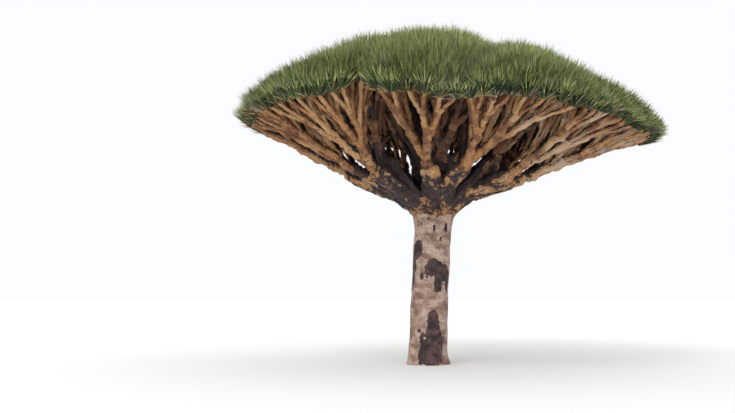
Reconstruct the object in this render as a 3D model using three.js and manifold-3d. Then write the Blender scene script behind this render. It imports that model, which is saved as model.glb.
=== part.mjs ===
// A dragon blood tree: one leaning trunk, limbs that part at its head, forking boughs under
// a domed umbrella of sword-leaf rosettes.
// Millimetres, +Z up. The origin is the centre of the flat cut under the trunk, at ground level.
import * as THREE from "three";
import { mergeVertices } from "three/addons/utils/BufferGeometryUtils.js";
import Module from "manifold-3d";

// Driving dimensions
const CLEARANCE = 0.3; // gap between solids that meet
const SEED = 4127;

const TRUNK = {
  radius: 338,
  rootRadius: 400, // at the ground
  rootRidges: 5,
  ridgeDepth: 22,
  flareHeight: 240, // the root flare dies away over this height
  headRadius: 392, // swelling under the limbs
  headLength: 520,
  forkHeight: 2860, // where the limbs part
  crownRise: 210, // the rounded top stands this far above the fork
  lean: 130, // the head's drift towards +X
  leanPower: 1.2,
  sides: 20,
  rings: 9,
  ringPower: 1.25, // rings lie closer together near the ground
  domeTurns: [30, 60], // slopes of the rounded top, in degrees
};

const DOME = {
  top: 5680, // height of the highest twig tips
  rimRadius: 3590, // from the head's axis to the outermost twig tips
  rimShift: 220, // the +X side reaches this much further, the -X side less
  oval: 60, // the crown's half width along X is this much more, and along Y this much less
  rimHeight: 4230,
  rimBow: 120, // the rim hangs this much lower along X, and stands as much higher along Y
  rimTilt: 140, // the rim hangs this much lower on one side, and stands as much higher on the other
  lowSide: 10, // azimuth of the low side, in degrees
  round: 1.6, // power of the dome's fall from its top
  turn: 8, // power of the turn-down at its rim
  turned: 0.1, // and that turn-down's share of the fall
  ripple: 0.022, // slow unevenness of the outline, as a share of the radius:
  waves: [
    { count: 5, shift: 0.7, size: 1 },
    { count: 8, shift: 2.1, size: 0.6 },
  ],
  notchAt: -112.8, // azimuth of the bare notch in the rim, in degrees
  notchWidth: 5.5,
  notchDepth: 0.2,
  swell: 95, // each mass stands this much proud at its middle
};

// The crown's masses, ring by ring: from and to are shares of the way from the top to the rim. Each
// branch makes for the aim of its ring, a share of its patch counted from the top.
const RINGS = [
  { name: "top", count: 3, from: 0, to: 0.36, first: -52.8, aim: 0.58 },
  { name: "mid", count: 6, from: 0.36, to: 0.68, first: -112.8, aim: 0.58 },
  { name: "rim", count: 12, from: 0.68, to: 1, first: -112.8, aim: 0.85 },
];

// Limbs part at the trunk's head. Places are distances outwards and upwards from the head.
const LIMB = {
  count: 6,
  start: [90, -230],
  knee: [300, 60],
  reach: 680,
  reachSpread: 60,
  rise: 24, // in degrees
  riseSpread: 3,
  root: 205,
  tip: 172,
  knuckle: 0.62, // girth of a limb's rounded end, as a share of its own
  sides: 9,
  rings: 5,
};
const LEADER = { start: -120, reach: 600, bow: [-40, 30], root: 190, tip: 160 };
const BOUGH = {
  share: 0.3, // how far a bough runs from its limb's knuckle towards its mass
  sag: 85, // its tip hangs this far under the straight way
  sink: 90, // its root starts this far inside the knuckle
  bend: 0.5, // its last stretch, which heads straight for the mass
  taper: 1.12,
  sides: 7,
  rings: 4,
};

// One rule for every fork: a branch feeds a patch of the dome, and parts when the patch is large.
const FORK = {
  patch: 330000, // a patch of this area, in square mm, holds one rosette
  stand: 150, // a branch parts this far short of its patch,
  standArea: 850, // and this much further for a patch of one square metre
  power: 0.85, // how the second distance shrinks with the patch's area
  least: 0.12, // a branch runs at least this share of its way before it parts
  spread: 0.06, // seeded change of that distance
  uneven: 0.16, // seeded change of where a patch is cut in two
};
const PIPE = { radius: 45, patch: 45000, power: 0.294 }; // branch radius from the area it feeds

const ROSETTE = {
  leaf: 410,
  leafSpread: 0.2,
  sectors: 5, // each holds an inner and an outer leaf
  innerShare: 0.45,
  squareness: 0.75,
  inset: 14, // from the edges of its patch
  drop: 45, // the tuft's edge hangs below its middle
  depth: 170, // the tuft's root below its middle
  tiltDown: 24, // lean of the lowest leaves, less where one would leave its own space
  tiltSide: 60, // lean of the leaves at the sides, less there too
  tiltStep: 6,
  splay: 0.6, // turn of its leaves outwards at the very rim,
  splayPower: 6, // which dies away quickly above it
};

const COLOURS = {
  trunk: "#b9a596",
  limb: "#8a5c3a",
  bough: "#a06a3f",
  crown: "#5d7a3c",
};

const wasm = await Module();
wasm.setup();
const radians = THREE.MathUtils.degToRad;
const UP = new THREE.Vector3(0, 0, 1);

// A number from 0 to 1 that depends only on the whole numbers it is given.
function chance(...keys) {
  let h = SEED;
  for (const key of keys) {
    h = Math.imul(h ^ (key + 1), 2654435761) >>> 0;
    h = (h ^ (h >>> 15)) >>> 0;
  }
  h = Math.imul(h, 2246822519) >>> 0;
  return ((h ^ (h >>> 13)) >>> 0) / 4294967296;
}

function jitter(size, ...keys) {
  return (chance(...keys) - 0.5) * 2 * size;
}

// Solids

function solidOf(geometry) {
  const bare = geometry.clone();
  for (const name of Object.keys(bare.attributes)) {
    if (name !== "position") bare.deleteAttribute(name);
  }
  const merged = mergeVertices(bare, 1e-3);
  return new wasm.Manifold(
    new wasm.Mesh({
      numProp: 3,
      vertProperties: new Float32Array(merged.attributes.position.array),
      triVerts: new Uint32Array(merged.index.array),
    }),
  );
}

function largestPart(solid) {
  return solid.decompose().sort((a, b) => b.volume() - a.volume())[0];
}

function geometryOf(solid) {
  const mesh = solid.getMesh();
  const positions = new Float32Array(mesh.numVert * 3);
  for (let i = 0; i < mesh.numVert; i += 1) {
    const from = i * mesh.numProp;
    positions.set(mesh.vertProperties.subarray(from, from + 3), i * 3);
  }
  const geometry = new THREE.BufferGeometry();
  geometry.setAttribute("position", new THREE.BufferAttribute(positions, 3));
  geometry.setIndex(new THREE.BufferAttribute(mesh.triVerts, 1));
  geometry.computeVertexNormals();
  return geometry;
}

// Drops loose scraps, also those that only come free once the corners are rounded to 32 bits.
function wholePart(solid) {
  return largestPart(solidOf(geometryOf(largestPart(solid))));
}

// A closed cylinder bent along a curve. radiusAt gives its radius from 0 at the root to 1 at the tip,
// and grow is added all over.
function bentTube(curve, radiusAt, sides, rings, grow) {
  const tube = new THREE.CylinderGeometry(1, 1, 1, sides, rings);
  const frames = curve.computeFrenetFrames(rings, false);
  const stations = Array.from({ length: rings + 1 }, (_, i) => curve.getPointAt(i / rings));
  stations[0].addScaledVector(frames.tangents[0], -grow);
  stations[rings].addScaledVector(frames.tangents[rings], grow);
  const place = tube.attributes.position;
  for (let i = 0; i < place.count; i += 1) {
    const share = place.getY(i) + 0.5;
    const ring = Math.round(share * rings);
    const radius = radiusAt(share) + grow;
    const point = stations[ring]
      .clone()
      .addScaledVector(frames.normals[ring], place.getX(i) * radius)
      .addScaledVector(frames.binormals[ring], -place.getZ(i) * radius);
    place.setXYZ(i, point.x, point.y, point.z);
  }
  return solidOf(tube);
}

// Trunk

function leanAt(height) {
  return TRUNK.lean * Math.pow(Math.max(height, 0) / TRUNK.forkHeight, TRUNK.leanPower);
}

function trunkRadius(height) {
  const flare = (TRUNK.rootRadius - TRUNK.radius) * Math.exp(-height / TRUNK.flareHeight);
  const neck = (height - (TRUNK.forkHeight - TRUNK.headLength)) / TRUNK.headLength;
  const swelling = THREE.MathUtils.smoothstep(neck, 0, 1) * (TRUNK.headRadius - TRUNK.radius);
  return TRUNK.radius + flare + swelling;
}

function trunkSolid(grow) {
  const profile = [new THREE.Vector2(0, -grow)];
  for (let i = 0; i <= TRUNK.rings; i += 1) {
    const height = TRUNK.forkHeight * Math.pow(i / TRUNK.rings, TRUNK.ringPower);
    profile.push(new THREE.Vector2(trunkRadius(height) + grow, i === 0 ? -grow : height));
  }
  for (const turn of TRUNK.domeTurns) {
    const side = Math.cos(radians(turn)) * (TRUNK.headRadius + grow);
    const height = TRUNK.forkHeight + Math.sin(radians(turn)) * (TRUNK.crownRise + grow);
    profile.push(new THREE.Vector2(side, height));
  }
  profile.push(new THREE.Vector2(0, TRUNK.forkHeight + TRUNK.crownRise + grow));
  const lathe = new THREE.LatheGeometry(profile, TRUNK.sides);
  lathe.rotateX(Math.PI / 2);
  const place = lathe.attributes.position;
  for (let i = 0; i < place.count; i += 1) {
    const x = place.getX(i);
    const y = place.getY(i);
    const height = place.getZ(i);
    const out = Math.hypot(x, y);
    const ridge = Math.cos(TRUNK.rootRidges * Math.atan2(y, x));
    const rib = TRUNK.ridgeDepth * ridge * Math.exp(-Math.max(height, 0) / TRUNK.flareHeight);
    const stretch = out > 1 ? (out + rib) / out : 1;
    place.setXYZ(i, x * stretch + leanAt(height), y * stretch, height);
  }
  return solidOf(lathe);
}

// Dome

const head = new THREE.Vector3(leanAt(TRUNK.forkHeight), 0, TRUNK.forkHeight);

function rimRadius(azimuth) {
  const height = ({ count, shift, size }) => size * Math.sin(count * azimuth + shift);
  const swing = DOME.waves.reduce((sum, wave) => sum + height(wave), 0);
  const even = DOME.rimRadius + DOME.oval * Math.cos(2 * azimuth);
  return even * (1 + DOME.ripple * swing) + DOME.rimShift * Math.cos(azimuth);
}

function rimHeight(azimuth) {
  const tilt = DOME.rimTilt * Math.cos(azimuth - radians(DOME.lowSide));
  return DOME.rimHeight - DOME.rimBow * Math.cos(2 * azimuth) - tilt;
}

// Share of the way down to the rim that foliage reaches: less at the notch.
function rimEdge(azimuth) {
  const turn = azimuth - radians(DOME.notchAt);
  const off = Math.atan2(Math.sin(turn), Math.cos(turn)) / radians(DOME.notchWidth);
  return 1 - DOME.notchDepth * Math.exp(-off * off);
}

function domePoint(down, azimuth, lift = 0) {
  const reach = down * THREE.MathUtils.lerp(1, rimEdge(azimuth), down * down);
  const fall = THREE.MathUtils.lerp(Math.pow(reach, DOME.round), Math.pow(reach, DOME.turn), DOME.turned);
  const out = rimRadius(azimuth) * reach;
  return new THREE.Vector3(
    head.x + out * Math.cos(azimuth),
    head.y + out * Math.sin(azimuth),
    DOME.top - (DOME.top - rimHeight(azimuth)) * fall + lift,
  );
}

function domeNormal(down, azimuth) {
  const step = 0.01;
  const low = Math.max(down, 0.04);
  const slope = domePoint(low + step, azimuth).sub(domePoint(low - step, azimuth));
  const across = domePoint(low, azimuth + step).sub(domePoint(low, azimuth - step));
  return slope.cross(across).normalize();
}

// A patch of the dome: shares of the way down, and azimuths, that bound it.

// The way down that leaves a share of the patch above it, as seen from above.
function downTo(patch, share) {
  return Math.sqrt(THREE.MathUtils.lerp(patch.from ** 2, patch.to ** 2, share));
}

function patchMiddle(patch, share = 0.5) {
  return { down: downTo(patch, share), azimuth: (patch.left + patch.right) / 2 };
}

function patchSides(patch) {
  const { down, azimuth } = patchMiddle(patch);
  return {
    long: domePoint(patch.to, azimuth).distanceTo(domePoint(patch.from, azimuth)),
    wide: domePoint(down, patch.right).distanceTo(domePoint(down, azimuth)) * 2,
  };
}

function patchArea(patch) {
  const { long, wide } = patchSides(patch);
  return long * wide;
}

function cutPatch(patch, keys) {
  const { long, wide } = patchSides(patch);
  const share = 0.5 + jitter(FORK.uneven / 2, ...keys, 1);
  if (wide > long) {
    const cut = THREE.MathUtils.lerp(patch.left, patch.right, share);
    return [
      { ...patch, right: cut },
      { ...patch, left: cut },
    ];
  }
  const cut = downTo(patch, share);
  return [
    { ...patch, to: cut },
    { ...patch, from: cut },
  ];
}

// How proud of the dome a mass stands at one place: most at its middle, nothing at its edges.
function swellAt(mass, down, azimuth) {
  const a = (down - mass.from) / (mass.to - mass.from) - 0.5;
  const b = (azimuth - mass.left) / (mass.right - mass.left) - 0.5;
  const side = mass.to === 1 ? Math.min(a, 0) : a;
  return DOME.swell * Math.max(0, 1 - 4 * side * side) * Math.max(0, 1 - 4 * b * b);
}

function massPoint(mass, down, azimuth) {
  return domePoint(down, azimuth, swellAt(mass, down, azimuth));
}

function slopeFromHead(point) {
  const out = Math.hypot(point.x - head.x, point.y - head.y);
  return Math.atan2(point.z - head.z, out);
}

// Rays from the head through the edges of a patch bound a space, which its leaves keep to, less
// a margin. The rim's own edge is open.
function turnFromMiddle(patch, point) {
  const turn = Math.atan2(point.y - head.y, point.x - head.x) - (patch.left + patch.right) / 2;
  return Math.atan2(Math.sin(turn), Math.cos(turn));
}

function betweenSides(patch, point) {
  const out = Math.hypot(point.x - head.x, point.y - head.y);
  return Math.abs(turnFromMiddle(patch, point)) < (patch.right - patch.left) / 2 - ROSETTE.inset / out;
}

function betweenRings(patch, point) {
  const azimuth = (patch.left + patch.right) / 2 + turnFromMiddle(patch, point);
  const slack = ROSETTE.inset / point.distanceTo(head);
  const slope = slopeFromHead(point);
  const slopeTo = (down) => slopeFromHead(domePoint(down, azimuth));
  const underUpper = patch.from === 0 || slope < slopeTo(patch.from) - slack;
  const overLower = patch.to === 1 || slope > slopeTo(patch.to) + slack;
  return underUpper && overLower;
}

// Branches

function branchRadius(area) {
  return PIPE.radius * Math.pow(area / PIPE.patch, PIPE.power);
}

// Adds the triangles between two closed loops of points that wind the same way. Of all the ways
// round in which neither loop runs far ahead, the one whose rungs are shortest in all is taken.
function addBand(triangles, lower, upper) {
  let best = { length: Infinity };
  for (let shift = 0; shift < upper.length; shift += 1) {
    const low = (i) => lower[i % lower.length];
    const high = (j) => upper[(j + shift) % upper.length];
    let ways = [{ i: 0, j: 0, length: 0, faces: [] }];
    for (let step = 0; step < lower.length + upper.length; step += 1) {
      const next = new Map();
      for (const { i, j, length, faces } of ways) {
        const moves = [
          { i: i + 1, j, face: [low(i), low(i + 1), high(j)] },
          { i, j: j + 1, face: [low(i), high(j + 1), high(j)] },
        ];
        for (const move of moves) {
          if (move.i > lower.length || move.j > upper.length) continue;
          if (Math.abs(move.i / lower.length - move.j / upper.length) >= 0.5) continue;
          const total = length + low(move.i).distanceTo(high(move.j));
          if (total < (next.get(move.i)?.length ?? Infinity)) {
            next.set(move.i, { i: move.i, j: move.j, length: total, faces: [...faces, move.face] });
          }
        }
      }
      ways = [...next.values()];
    }
    if (ways[0].length < best.length) best = ways[0];
  }
  triangles.push(...best.faces.flat());
}

// Corners round a branch, the first of them on the side that towards points to.
function cornersRound(centre, along, towards, radius, count) {
  const side = towards.clone().addScaledVector(along, -towards.dot(along)).normalize();
  const across = along.clone().cross(side);
  return Array.from({ length: count }, (_, k) => {
    const turn = (2 * Math.PI * k) / count;
    return centre
      .clone()
      .addScaledVector(side, radius * Math.cos(turn))
      .addScaledVector(across, radius * Math.sin(turn));
  });
}

function aimOf(mass, patch) {
  const target = patchMiddle(patch, mass.aim);
  return massPoint(mass, target.down, target.azimuth);
}

// Grows one branch out of a loop of points. Where its patch is large it runs part of the way and
// parts: its last ring is cut along a diagonal, and each half carries on as a branch of its own.
function growBranch(triangles, mass, patch, loop, from, path) {
  const area = patchArea(patch);
  if (area <= FORK.patch) {
    addRosette(triangles, mass, patch, loop, from, path);
    return;
  }
  const aim = aimOf(mass, patch);
  const uneven = 1 + jitter(FORK.spread, mass.key, path, 2);
  const stand = (FORK.stand + FORK.standArea * Math.pow(area / 1e6, FORK.power)) * uneven;
  const fork = from.clone().lerp(aim, Math.max(FORK.least, 1 - stand / from.distanceTo(aim)));
  const along = fork.clone().sub(from).normalize();
  const halves = cutPatch(patch, [mass.key, path]);
  const towards = aimOf(mass, halves[0]).sub(aimOf(mass, halves[1]));
  const ring = cornersRound(fork, along, towards, branchRadius(area / 2), 4);
  addBand(triangles, loop, ring);
  growBranch(triangles, mass, halves[0], [ring[3], ring[0], ring[1]], fork, path * 2);
  growBranch(triangles, mass, halves[1], [ring[1], ring[2], ring[3]], fork, path * 2 + 1);
}

// One rosette: a tuft of leaves over a patch of the dome. Its cushion is parted into sectors, with
// one leaf on the inner part of each and one on the outer. Leaves lean away from the middle, the
// outer ones more, so that no two cross.
function addRosette(triangles, mass, patch, loop, from, path) {
  const { down, azimuth } = patchMiddle(patch);
  const foot = massPoint(mass, down, azimuth);
  const outward = new THREE.Vector3(Math.cos(azimuth), Math.sin(azimuth), 0);
  const normal = domeNormal(down, azimuth);
  const axis = normal.clone().lerp(outward, ROSETTE.splay * Math.pow(down, ROSETTE.splayPower)).normalize();
  const { long, wide } = patchSides(patch);
  const margin = (ROSETTE.inset / long) * (patch.to - patch.from);
  const halfTurn = (patch.right - patch.left) * (0.5 - ROSETTE.inset / wide);
  const start = chance(mass.key, path, 3);

  const edge = Array.from({ length: ROSETTE.sectors }, (_, k) => {
    const turn = (2 * Math.PI * (k + start)) / ROSETTE.sectors;
    const c = Math.cos(turn);
    const s = Math.sin(turn);
    const corner = 1 / Math.max(Math.abs(c), Math.abs(s));
    const reach = THREE.MathUtils.lerp(1, corner, ROSETTE.squareness);
    const halfDown = (c > 0 ? patch.to - down : down - patch.from) - margin;
    const point = massPoint(mass, down + halfDown * c * reach, azimuth + halfTurn * s * reach);
    return point.addScaledVector(normal, -ROSETTE.drop);
  });
  const inner = edge.map((corner) => foot.clone().lerp(corner, ROSETTE.innerShare));

  const root = foot.clone().addScaledVector(normal, -ROSETTE.depth);
  const heading = root.clone().sub(from).normalize().add(normal).normalize();
  const neck = cornersRound(root, heading, loop[1].clone().sub(from), PIPE.radius, 3);
  addBand(triangles, loop, neck);
  addBand(triangles, neck, edge);

  const faces = edge.flatMap((corner, k) => {
    const next = (k + 1) % edge.length;
    return [
      [inner[k], inner[next], foot],
      [corner, edge[next], inner[next], inner[k]],
    ];
  });
  const across = UP.clone().cross(outward).normalize();
  const downward = across.clone().cross(axis).normalize();
  const tilt = { down: ROSETTE.tiltDown, side: ROSETTE.tiltSide };
  const tipsNow = () =>
    faces.map((corners, leaf) => {
      const base = new THREE.Vector3();
      for (const point of corners) base.addScaledVector(point, 1 / corners.length);
      const away = base.clone().sub(foot);
      const lean = downward.clone().multiplyScalar((tilt.down * away.dot(downward)) / (long / 2));
      lean.addScaledVector(across, (tilt.side * away.dot(across)) / (wide / 2));
      const angle = radians(lean.length());
      const length = ROSETTE.leaf * (1 + jitter(ROSETTE.leafSpread, mass.key, path, leaf));
      return base
        .addScaledVector(axis, length * Math.cos(angle))
        .addScaledVector(lean.normalize(), length * Math.sin(angle));
    });
  while (tilt.down > 0 && !tipsNow().every((tip) => betweenRings(patch, tip))) {
    tilt.down -= ROSETTE.tiltStep;
  }
  while (tilt.side + tilt.down > 0 && !tipsNow().every((tip) => betweenSides(patch, tip))) {
    tilt[tilt.side > 0 ? "side" : "down"] -= ROSETTE.tiltStep;
  }
  const tips = tipsNow();
  faces.forEach((corners, leaf) => {
    corners.forEach((point, k) => triangles.push(point, corners[(k + 1) % corners.length], tips[leaf]));
  });
}

function massSolid(mass, start, heading) {
  const from = start.clone().addScaledVector(heading, CLEARANCE);
  const towards = aimOf(mass, { ...mass, from: mass.to }).sub(aimOf(mass, { ...mass, to: mass.from }));
  const ring = cornersRound(from, heading, towards, branchRadius(patchArea(mass)), 4);
  const triangles = [ring[0], ring[2], ring[1], ring[0], ring[3], ring[2]];
  growBranch(triangles, mass, mass, ring, from, 1);
  return solidOf(new THREE.BufferGeometry().setFromPoints(triangles));
}

// Assembly

const tree = new THREE.Group();

function addNode(name, solid, colour, roughness) {
  const material = new THREE.MeshStandardMaterial({ color: colour, roughness, metalness: 0 });
  const mesh = new THREE.Mesh(geometryOf(wholePart(solid)), material);
  mesh.name = name;
  tree.add(mesh);
}

const taper = (root, tip) => (share) => THREE.MathUtils.lerp(root, tip, share);

// A limb keeps its girth and ends in a rounded knuckle, where its boughs part.
const knuckled = (root, tip) => (share) => {
  const girth = THREE.MathUtils.lerp(root, tip, share);
  return share > 0.99 ? girth * LIMB.knuckle : girth;
};

function limbCurve(azimuth, rise, reach) {
  const outward = new THREE.Vector3(Math.cos(azimuth), Math.sin(azimuth), 0);
  const place = (out, up) => head.clone().addScaledVector(outward, out).addScaledVector(UP, up);
  const tip = place(reach * Math.cos(rise), reach * Math.sin(rise));
  return new THREE.QuadraticBezierCurve3(place(...LIMB.start), place(...LIMB.knee), tip);
}

const limbs = Array.from({ length: LIMB.count }, (_, i) => {
  const turn = 360 / LIMB.count;
  const azimuth = radians(RINGS[2].first + turn * (i + 0.5));
  const rise = radians(LIMB.rise + jitter(LIMB.riseSpread, 900, i));
  const curve = limbCurve(azimuth, rise, LIMB.reach + jitter(LIMB.reachSpread, 901, i));
  return { name: `limb_${i + 1}`, curve, root: LIMB.root, tip: LIMB.tip };
});
limbs.push({
  name: "limb_centre",
  curve: new THREE.QuadraticBezierCurve3(
    head.clone().addScaledVector(UP, LEADER.start),
    head.clone().add(new THREE.Vector3(...LEADER.bow, LEADER.reach / 2)),
    head.clone().addScaledVector(UP, LEADER.reach),
  ),
  root: LEADER.root,
  tip: LEADER.tip,
});

function limbSolid(limb, grow) {
  return bentTube(limb.curve, knuckled(limb.root, limb.tip), LIMB.sides, LIMB.rings, grow);
}

function massesOf(ring, ringIndex) {
  const turn = radians(360 / ring.count);
  return Array.from({ length: ring.count }, (_, i) => ({
    name: `${ring.name}_${String(i + 1).padStart(2, "0")}`,
    key: ringIndex * 100 + i,
    aim: ring.aim,
    limb: ring.name === "top" ? LIMB.count : Math.floor((i * LIMB.count) / ring.count),
    from: ring.from,
    to: ring.to,
    left: radians(ring.first) + turn * i,
    right: radians(ring.first) + turn * (i + 1),
  }));
}
const masses = RINGS.flatMap(massesOf);

// A bough runs from its limb's knuckle towards the low edge of its mass, and bends up on the way.
function boughCurve(mass) {
  const limb = limbs[mass.limb];
  const knuckle = limb.curve.getPointAt(1);
  const heading = limb.curve.getTangentAt(1);
  const target = patchMiddle(mass, mass.aim);
  const aim = massPoint(mass, target.down, target.azimuth);
  const tip = knuckle.clone().lerp(aim, BOUGH.share).addScaledVector(UP, -BOUGH.sag);
  const ahead = aim.clone().sub(tip).normalize();
  const knee = tip.clone().addScaledVector(ahead, -knuckle.distanceTo(tip) * BOUGH.bend);
  return new THREE.QuadraticBezierCurve3(knuckle.addScaledVector(heading, -BOUGH.sink), knee, tip);
}

function boughSolid(curve, tip, grow) {
  return bentTube(curve, taper(tip * BOUGH.taper, tip), BOUGH.sides, BOUGH.rings, grow);
}

const trunk = trunkSolid(0);
const grownTrunk = trunkSolid(CLEARANCE);
addNode("trunk", trunk, COLOURS.trunk, 0.9);

const grownLimbs = [];
for (const limb of limbs) {
  let solid = limbSolid(limb, 0).subtract(grownTrunk);
  for (const other of grownLimbs) solid = solid.subtract(other);
  addNode(limb.name, solid, COLOURS.limb, 0.9);
  grownLimbs.push(limbSolid(limb, CLEARANCE));
}

const grownBoughs = [];
for (const mass of masses) {
  const curve = boughCurve(mass);
  const tip = branchRadius(patchArea(mass));
  let solid = boughSolid(curve, tip, 0).subtract(grownTrunk);
  for (const other of [...grownLimbs, ...grownBoughs]) solid = solid.subtract(other);
  addNode(`bough_${mass.name}`, solid, COLOURS.bough, 0.9);
  grownBoughs.push(boughSolid(curve, tip, CLEARANCE));
  const crown = massSolid(mass, curve.getPointAt(1), curve.getTangentAt(1));
  addNode(`crown_${mass.name}`, crown, COLOURS.crown, 0.7);
}

export default tree;
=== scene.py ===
# A dragon blood tree as it stands: bark over its trunk, limbs and boughs, and in place of the plain
# masses the forking twigs and tufts of sword leaves of an umbrella crown. Metres, +Z up.
import math
from typing import NamedTuple

import bmesh
import bpy
import numpy as np
from bpy.props import FloatProperty, FloatVectorProperty, IntProperty, PointerProperty
from bpy.types import Operator, Panel, PropertyGroup
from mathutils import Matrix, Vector, noise


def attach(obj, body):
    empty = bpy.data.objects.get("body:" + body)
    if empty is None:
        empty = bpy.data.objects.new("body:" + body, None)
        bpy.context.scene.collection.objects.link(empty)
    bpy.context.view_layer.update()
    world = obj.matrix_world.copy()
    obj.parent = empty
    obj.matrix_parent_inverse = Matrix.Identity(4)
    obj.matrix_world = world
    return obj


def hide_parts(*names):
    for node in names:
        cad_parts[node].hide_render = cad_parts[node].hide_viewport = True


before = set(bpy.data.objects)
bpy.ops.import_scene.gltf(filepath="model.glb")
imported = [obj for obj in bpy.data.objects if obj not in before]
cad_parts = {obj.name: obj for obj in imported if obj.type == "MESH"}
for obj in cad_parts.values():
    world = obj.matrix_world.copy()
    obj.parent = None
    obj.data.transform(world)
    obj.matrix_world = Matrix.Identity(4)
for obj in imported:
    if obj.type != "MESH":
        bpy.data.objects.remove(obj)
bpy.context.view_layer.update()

bl_info = {
    "name": "Dragon Blood Tree",
    "version": (1, 0, 0),
    "blender": (4, 5, 0),
    "location": "3D View > Sidebar > Tree",
    "description": "Builds a dragon blood tree with bark, forking twigs and tufts of sword leaves",
    "category": "Add Mesh",
}

SEED = 4127
UP = Vector((0, 0, 1))


# Settings


def length(name, default, description):
    return FloatProperty(name=name, description=description, default=default, unit="LENGTH", precision=3)


def share(name, default, description):
    return FloatProperty(name=name, description=description, default=default, precision=3)


def surface(name, default, description):
    return FloatProperty(name=name, description=description, default=default, unit="AREA", precision=3)


def angle(name, degrees, description):
    turn = math.radians(degrees)
    return FloatProperty(name=name, description=description, default=turn, subtype="ANGLE")


def whole(name, default, description):
    return IntProperty(name=name, description=description, default=default, min=1)


def linear(code):
    """A colour code such as b9a596 in linear light."""
    parts = [int(code[i : i + 2], 16) / 255 for i in (0, 2, 4)]
    return tuple(c / 12.92 if c <= 0.04045 else ((c + 0.055) / 1.055) ** 2.4 for c in parts)


def colour(name, code, description):
    return FloatVectorProperty(
        name=name, description=description, default=linear(code), subtype="COLOR", size=3, min=0, max=1
    )


class TrunkSettings(PropertyGroup):
    radius: length("Radius", 0.338, "Half the trunk's thickness")
    root_radius: length("Root Radius", 0.4, "At the ground")
    root_ridges: whole("Root Ridges", 5, "Ribs round the root flare")
    ridge_depth: length("Ridge Depth", 0.022, "How far a rib stands out")
    flare_height: length("Flare Height", 0.24, "The root flare dies away over this height")
    head_radius: length("Head Radius", 0.392, "Swelling under the limbs")
    head_length: length("Head Length", 0.52, "Length of that swelling")
    fork_height: length("Fork Height", 2.86, "Where the limbs part")
    crown_rise: length("Crown Rise", 0.21, "Height of the rounded top above the fork")
    lean: length("Lean", 0.13, "Drift of the head towards +X")
    lean_power: share("Lean Power", 1.2, "How late the trunk leans")
    ring_step: length("Ring Step", 0.015, "Distance between the mesh's rings")
    pale: colour("Pale Bark", "b29b8b", "Smooth bark in the light")
    rosy: colour("Rosy Bark", "7d5f53", "Pinkish-grey bark")
    streak: colour("Streaks", "5f4a41", "Faint rings and cracks")
    decay: colour("Wounds", "2b1f22", "Dark weathered wood")
    decay_light: colour("Wound Edges", "553f3c", "Weathered wood where it is less dark")


class DomeSettings(PropertyGroup):
    top: length("Top", 5.7, "Height of the highest twig tips")
    rim_radius: length("Rim Radius", 3.62, "From the head's axis to the outermost twig tips")
    rim_shift: length("Rim Shift", 0.22, "The +X side reaches this much further, the -X side less")
    oval: length("Oval", 0.06, "The half width along X is this much more, and along Y this much less")
    rim_height: length("Rim Height", 4.34, "Mean height of the rim")
    rim_bow: length("Rim Bow", 0.05, "The rim is this much lower along X, and higher along Y")
    rim_tilt: length("Rim Tilt", 0.14, "The rim hangs this much lower on its low side")
    low_side: angle("Low Side", 10, "Azimuth of the low side")
    round: share("Roundness", 1.6, "Power of the fall from the top")
    turn: share("Turn Power", 8, "Power of the turn-down at the rim")
    turned: share("Turn Share", 0.1, "Share of the fall that the turn-down takes")
    ripple: share("Ripple", 0.022, "Slow unevenness of the outline")
    notch_at: angle("Notch Azimuth", -112.8, "Middle of the bare notch in the rim")
    notch_width: angle("Notch Width", 5.5, "Half width of the notch")
    notch_depth: share("Notch Depth", 0.2, "How far the notch goes into the crown")
    swell: length("Swell", 0.095, "Each mass stands this much proud at its middle")


class LimbSettings(PropertyGroup):
    count: whole("Limbs", 6, "Limbs round the head, without the middle one")
    reach: length("Reach", 0.68, "From the head to a limb's knuckle")
    reach_spread: length("Reach Spread", 0.06, "Seeded change of the reach")
    rise: angle("Rise", 24, "Slope of a limb")
    rise_spread: angle("Rise Spread", 3, "Seeded change of the slope")
    root: length("Root Radius", 0.205, "At the head")
    tip: length("Tip Radius", 0.172, "At the knuckle")
    leader_reach: length("Middle Reach", 0.6, "Length of the middle limb")
    leader_root: length("Middle Root Radius", 0.19, "Middle limb at the head")
    leader_tip: length("Middle Tip Radius", 0.16, "Middle limb at its knuckle")
    wide: share("Limb Width", 1.7, "How much wider than high a limb is")
    bough_share: share("Bough Share", 0.3, "Share of the way to its mass that a bough runs")
    bough_sag: length("Bough Sag", 0.085, "A bough's tip hangs this far under the straight way")
    bough_sink: length("Bough Sink", 0.09, "A bough's root starts this far inside the knuckle")
    bough_bend: share("Bough Bend", 0.5, "Its last stretch, which heads straight for the mass")
    bough_taper: share("Bough Taper", 1.12, "Girth of a bough's root against its tip")


class ForkSettings(PropertyGroup):
    finest: surface("Finest Patch", 0.062, "A patch of this area holds one rosette")
    stand: length("Stand", 0.2, "A branch parts this far short of its patch")
    stand_area: length("Stand by Area", 1.6, "And this much further for a patch of one square metre")
    power: share("Stand Power", 0.58, "How the second distance shrinks with the patch's area")
    least: share("Least Run", 0.12, "A branch runs at least this share of its way")
    spread: share("Stand Spread", 0.06, "Seeded change of that distance")
    uneven: share("Uneven Cut", 0.16, "Seeded change of where a patch is cut in two")
    pipe: length("Twig Radius", 0.043, "Radius of a twig that feeds the pipe's patch")
    pipe_patch: surface("Twig Patch", 0.045, "The area that such a twig feeds")
    pipe_power: share("Girth Power", 0.25, "How girth grows with the area that a branch feeds")


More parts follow.
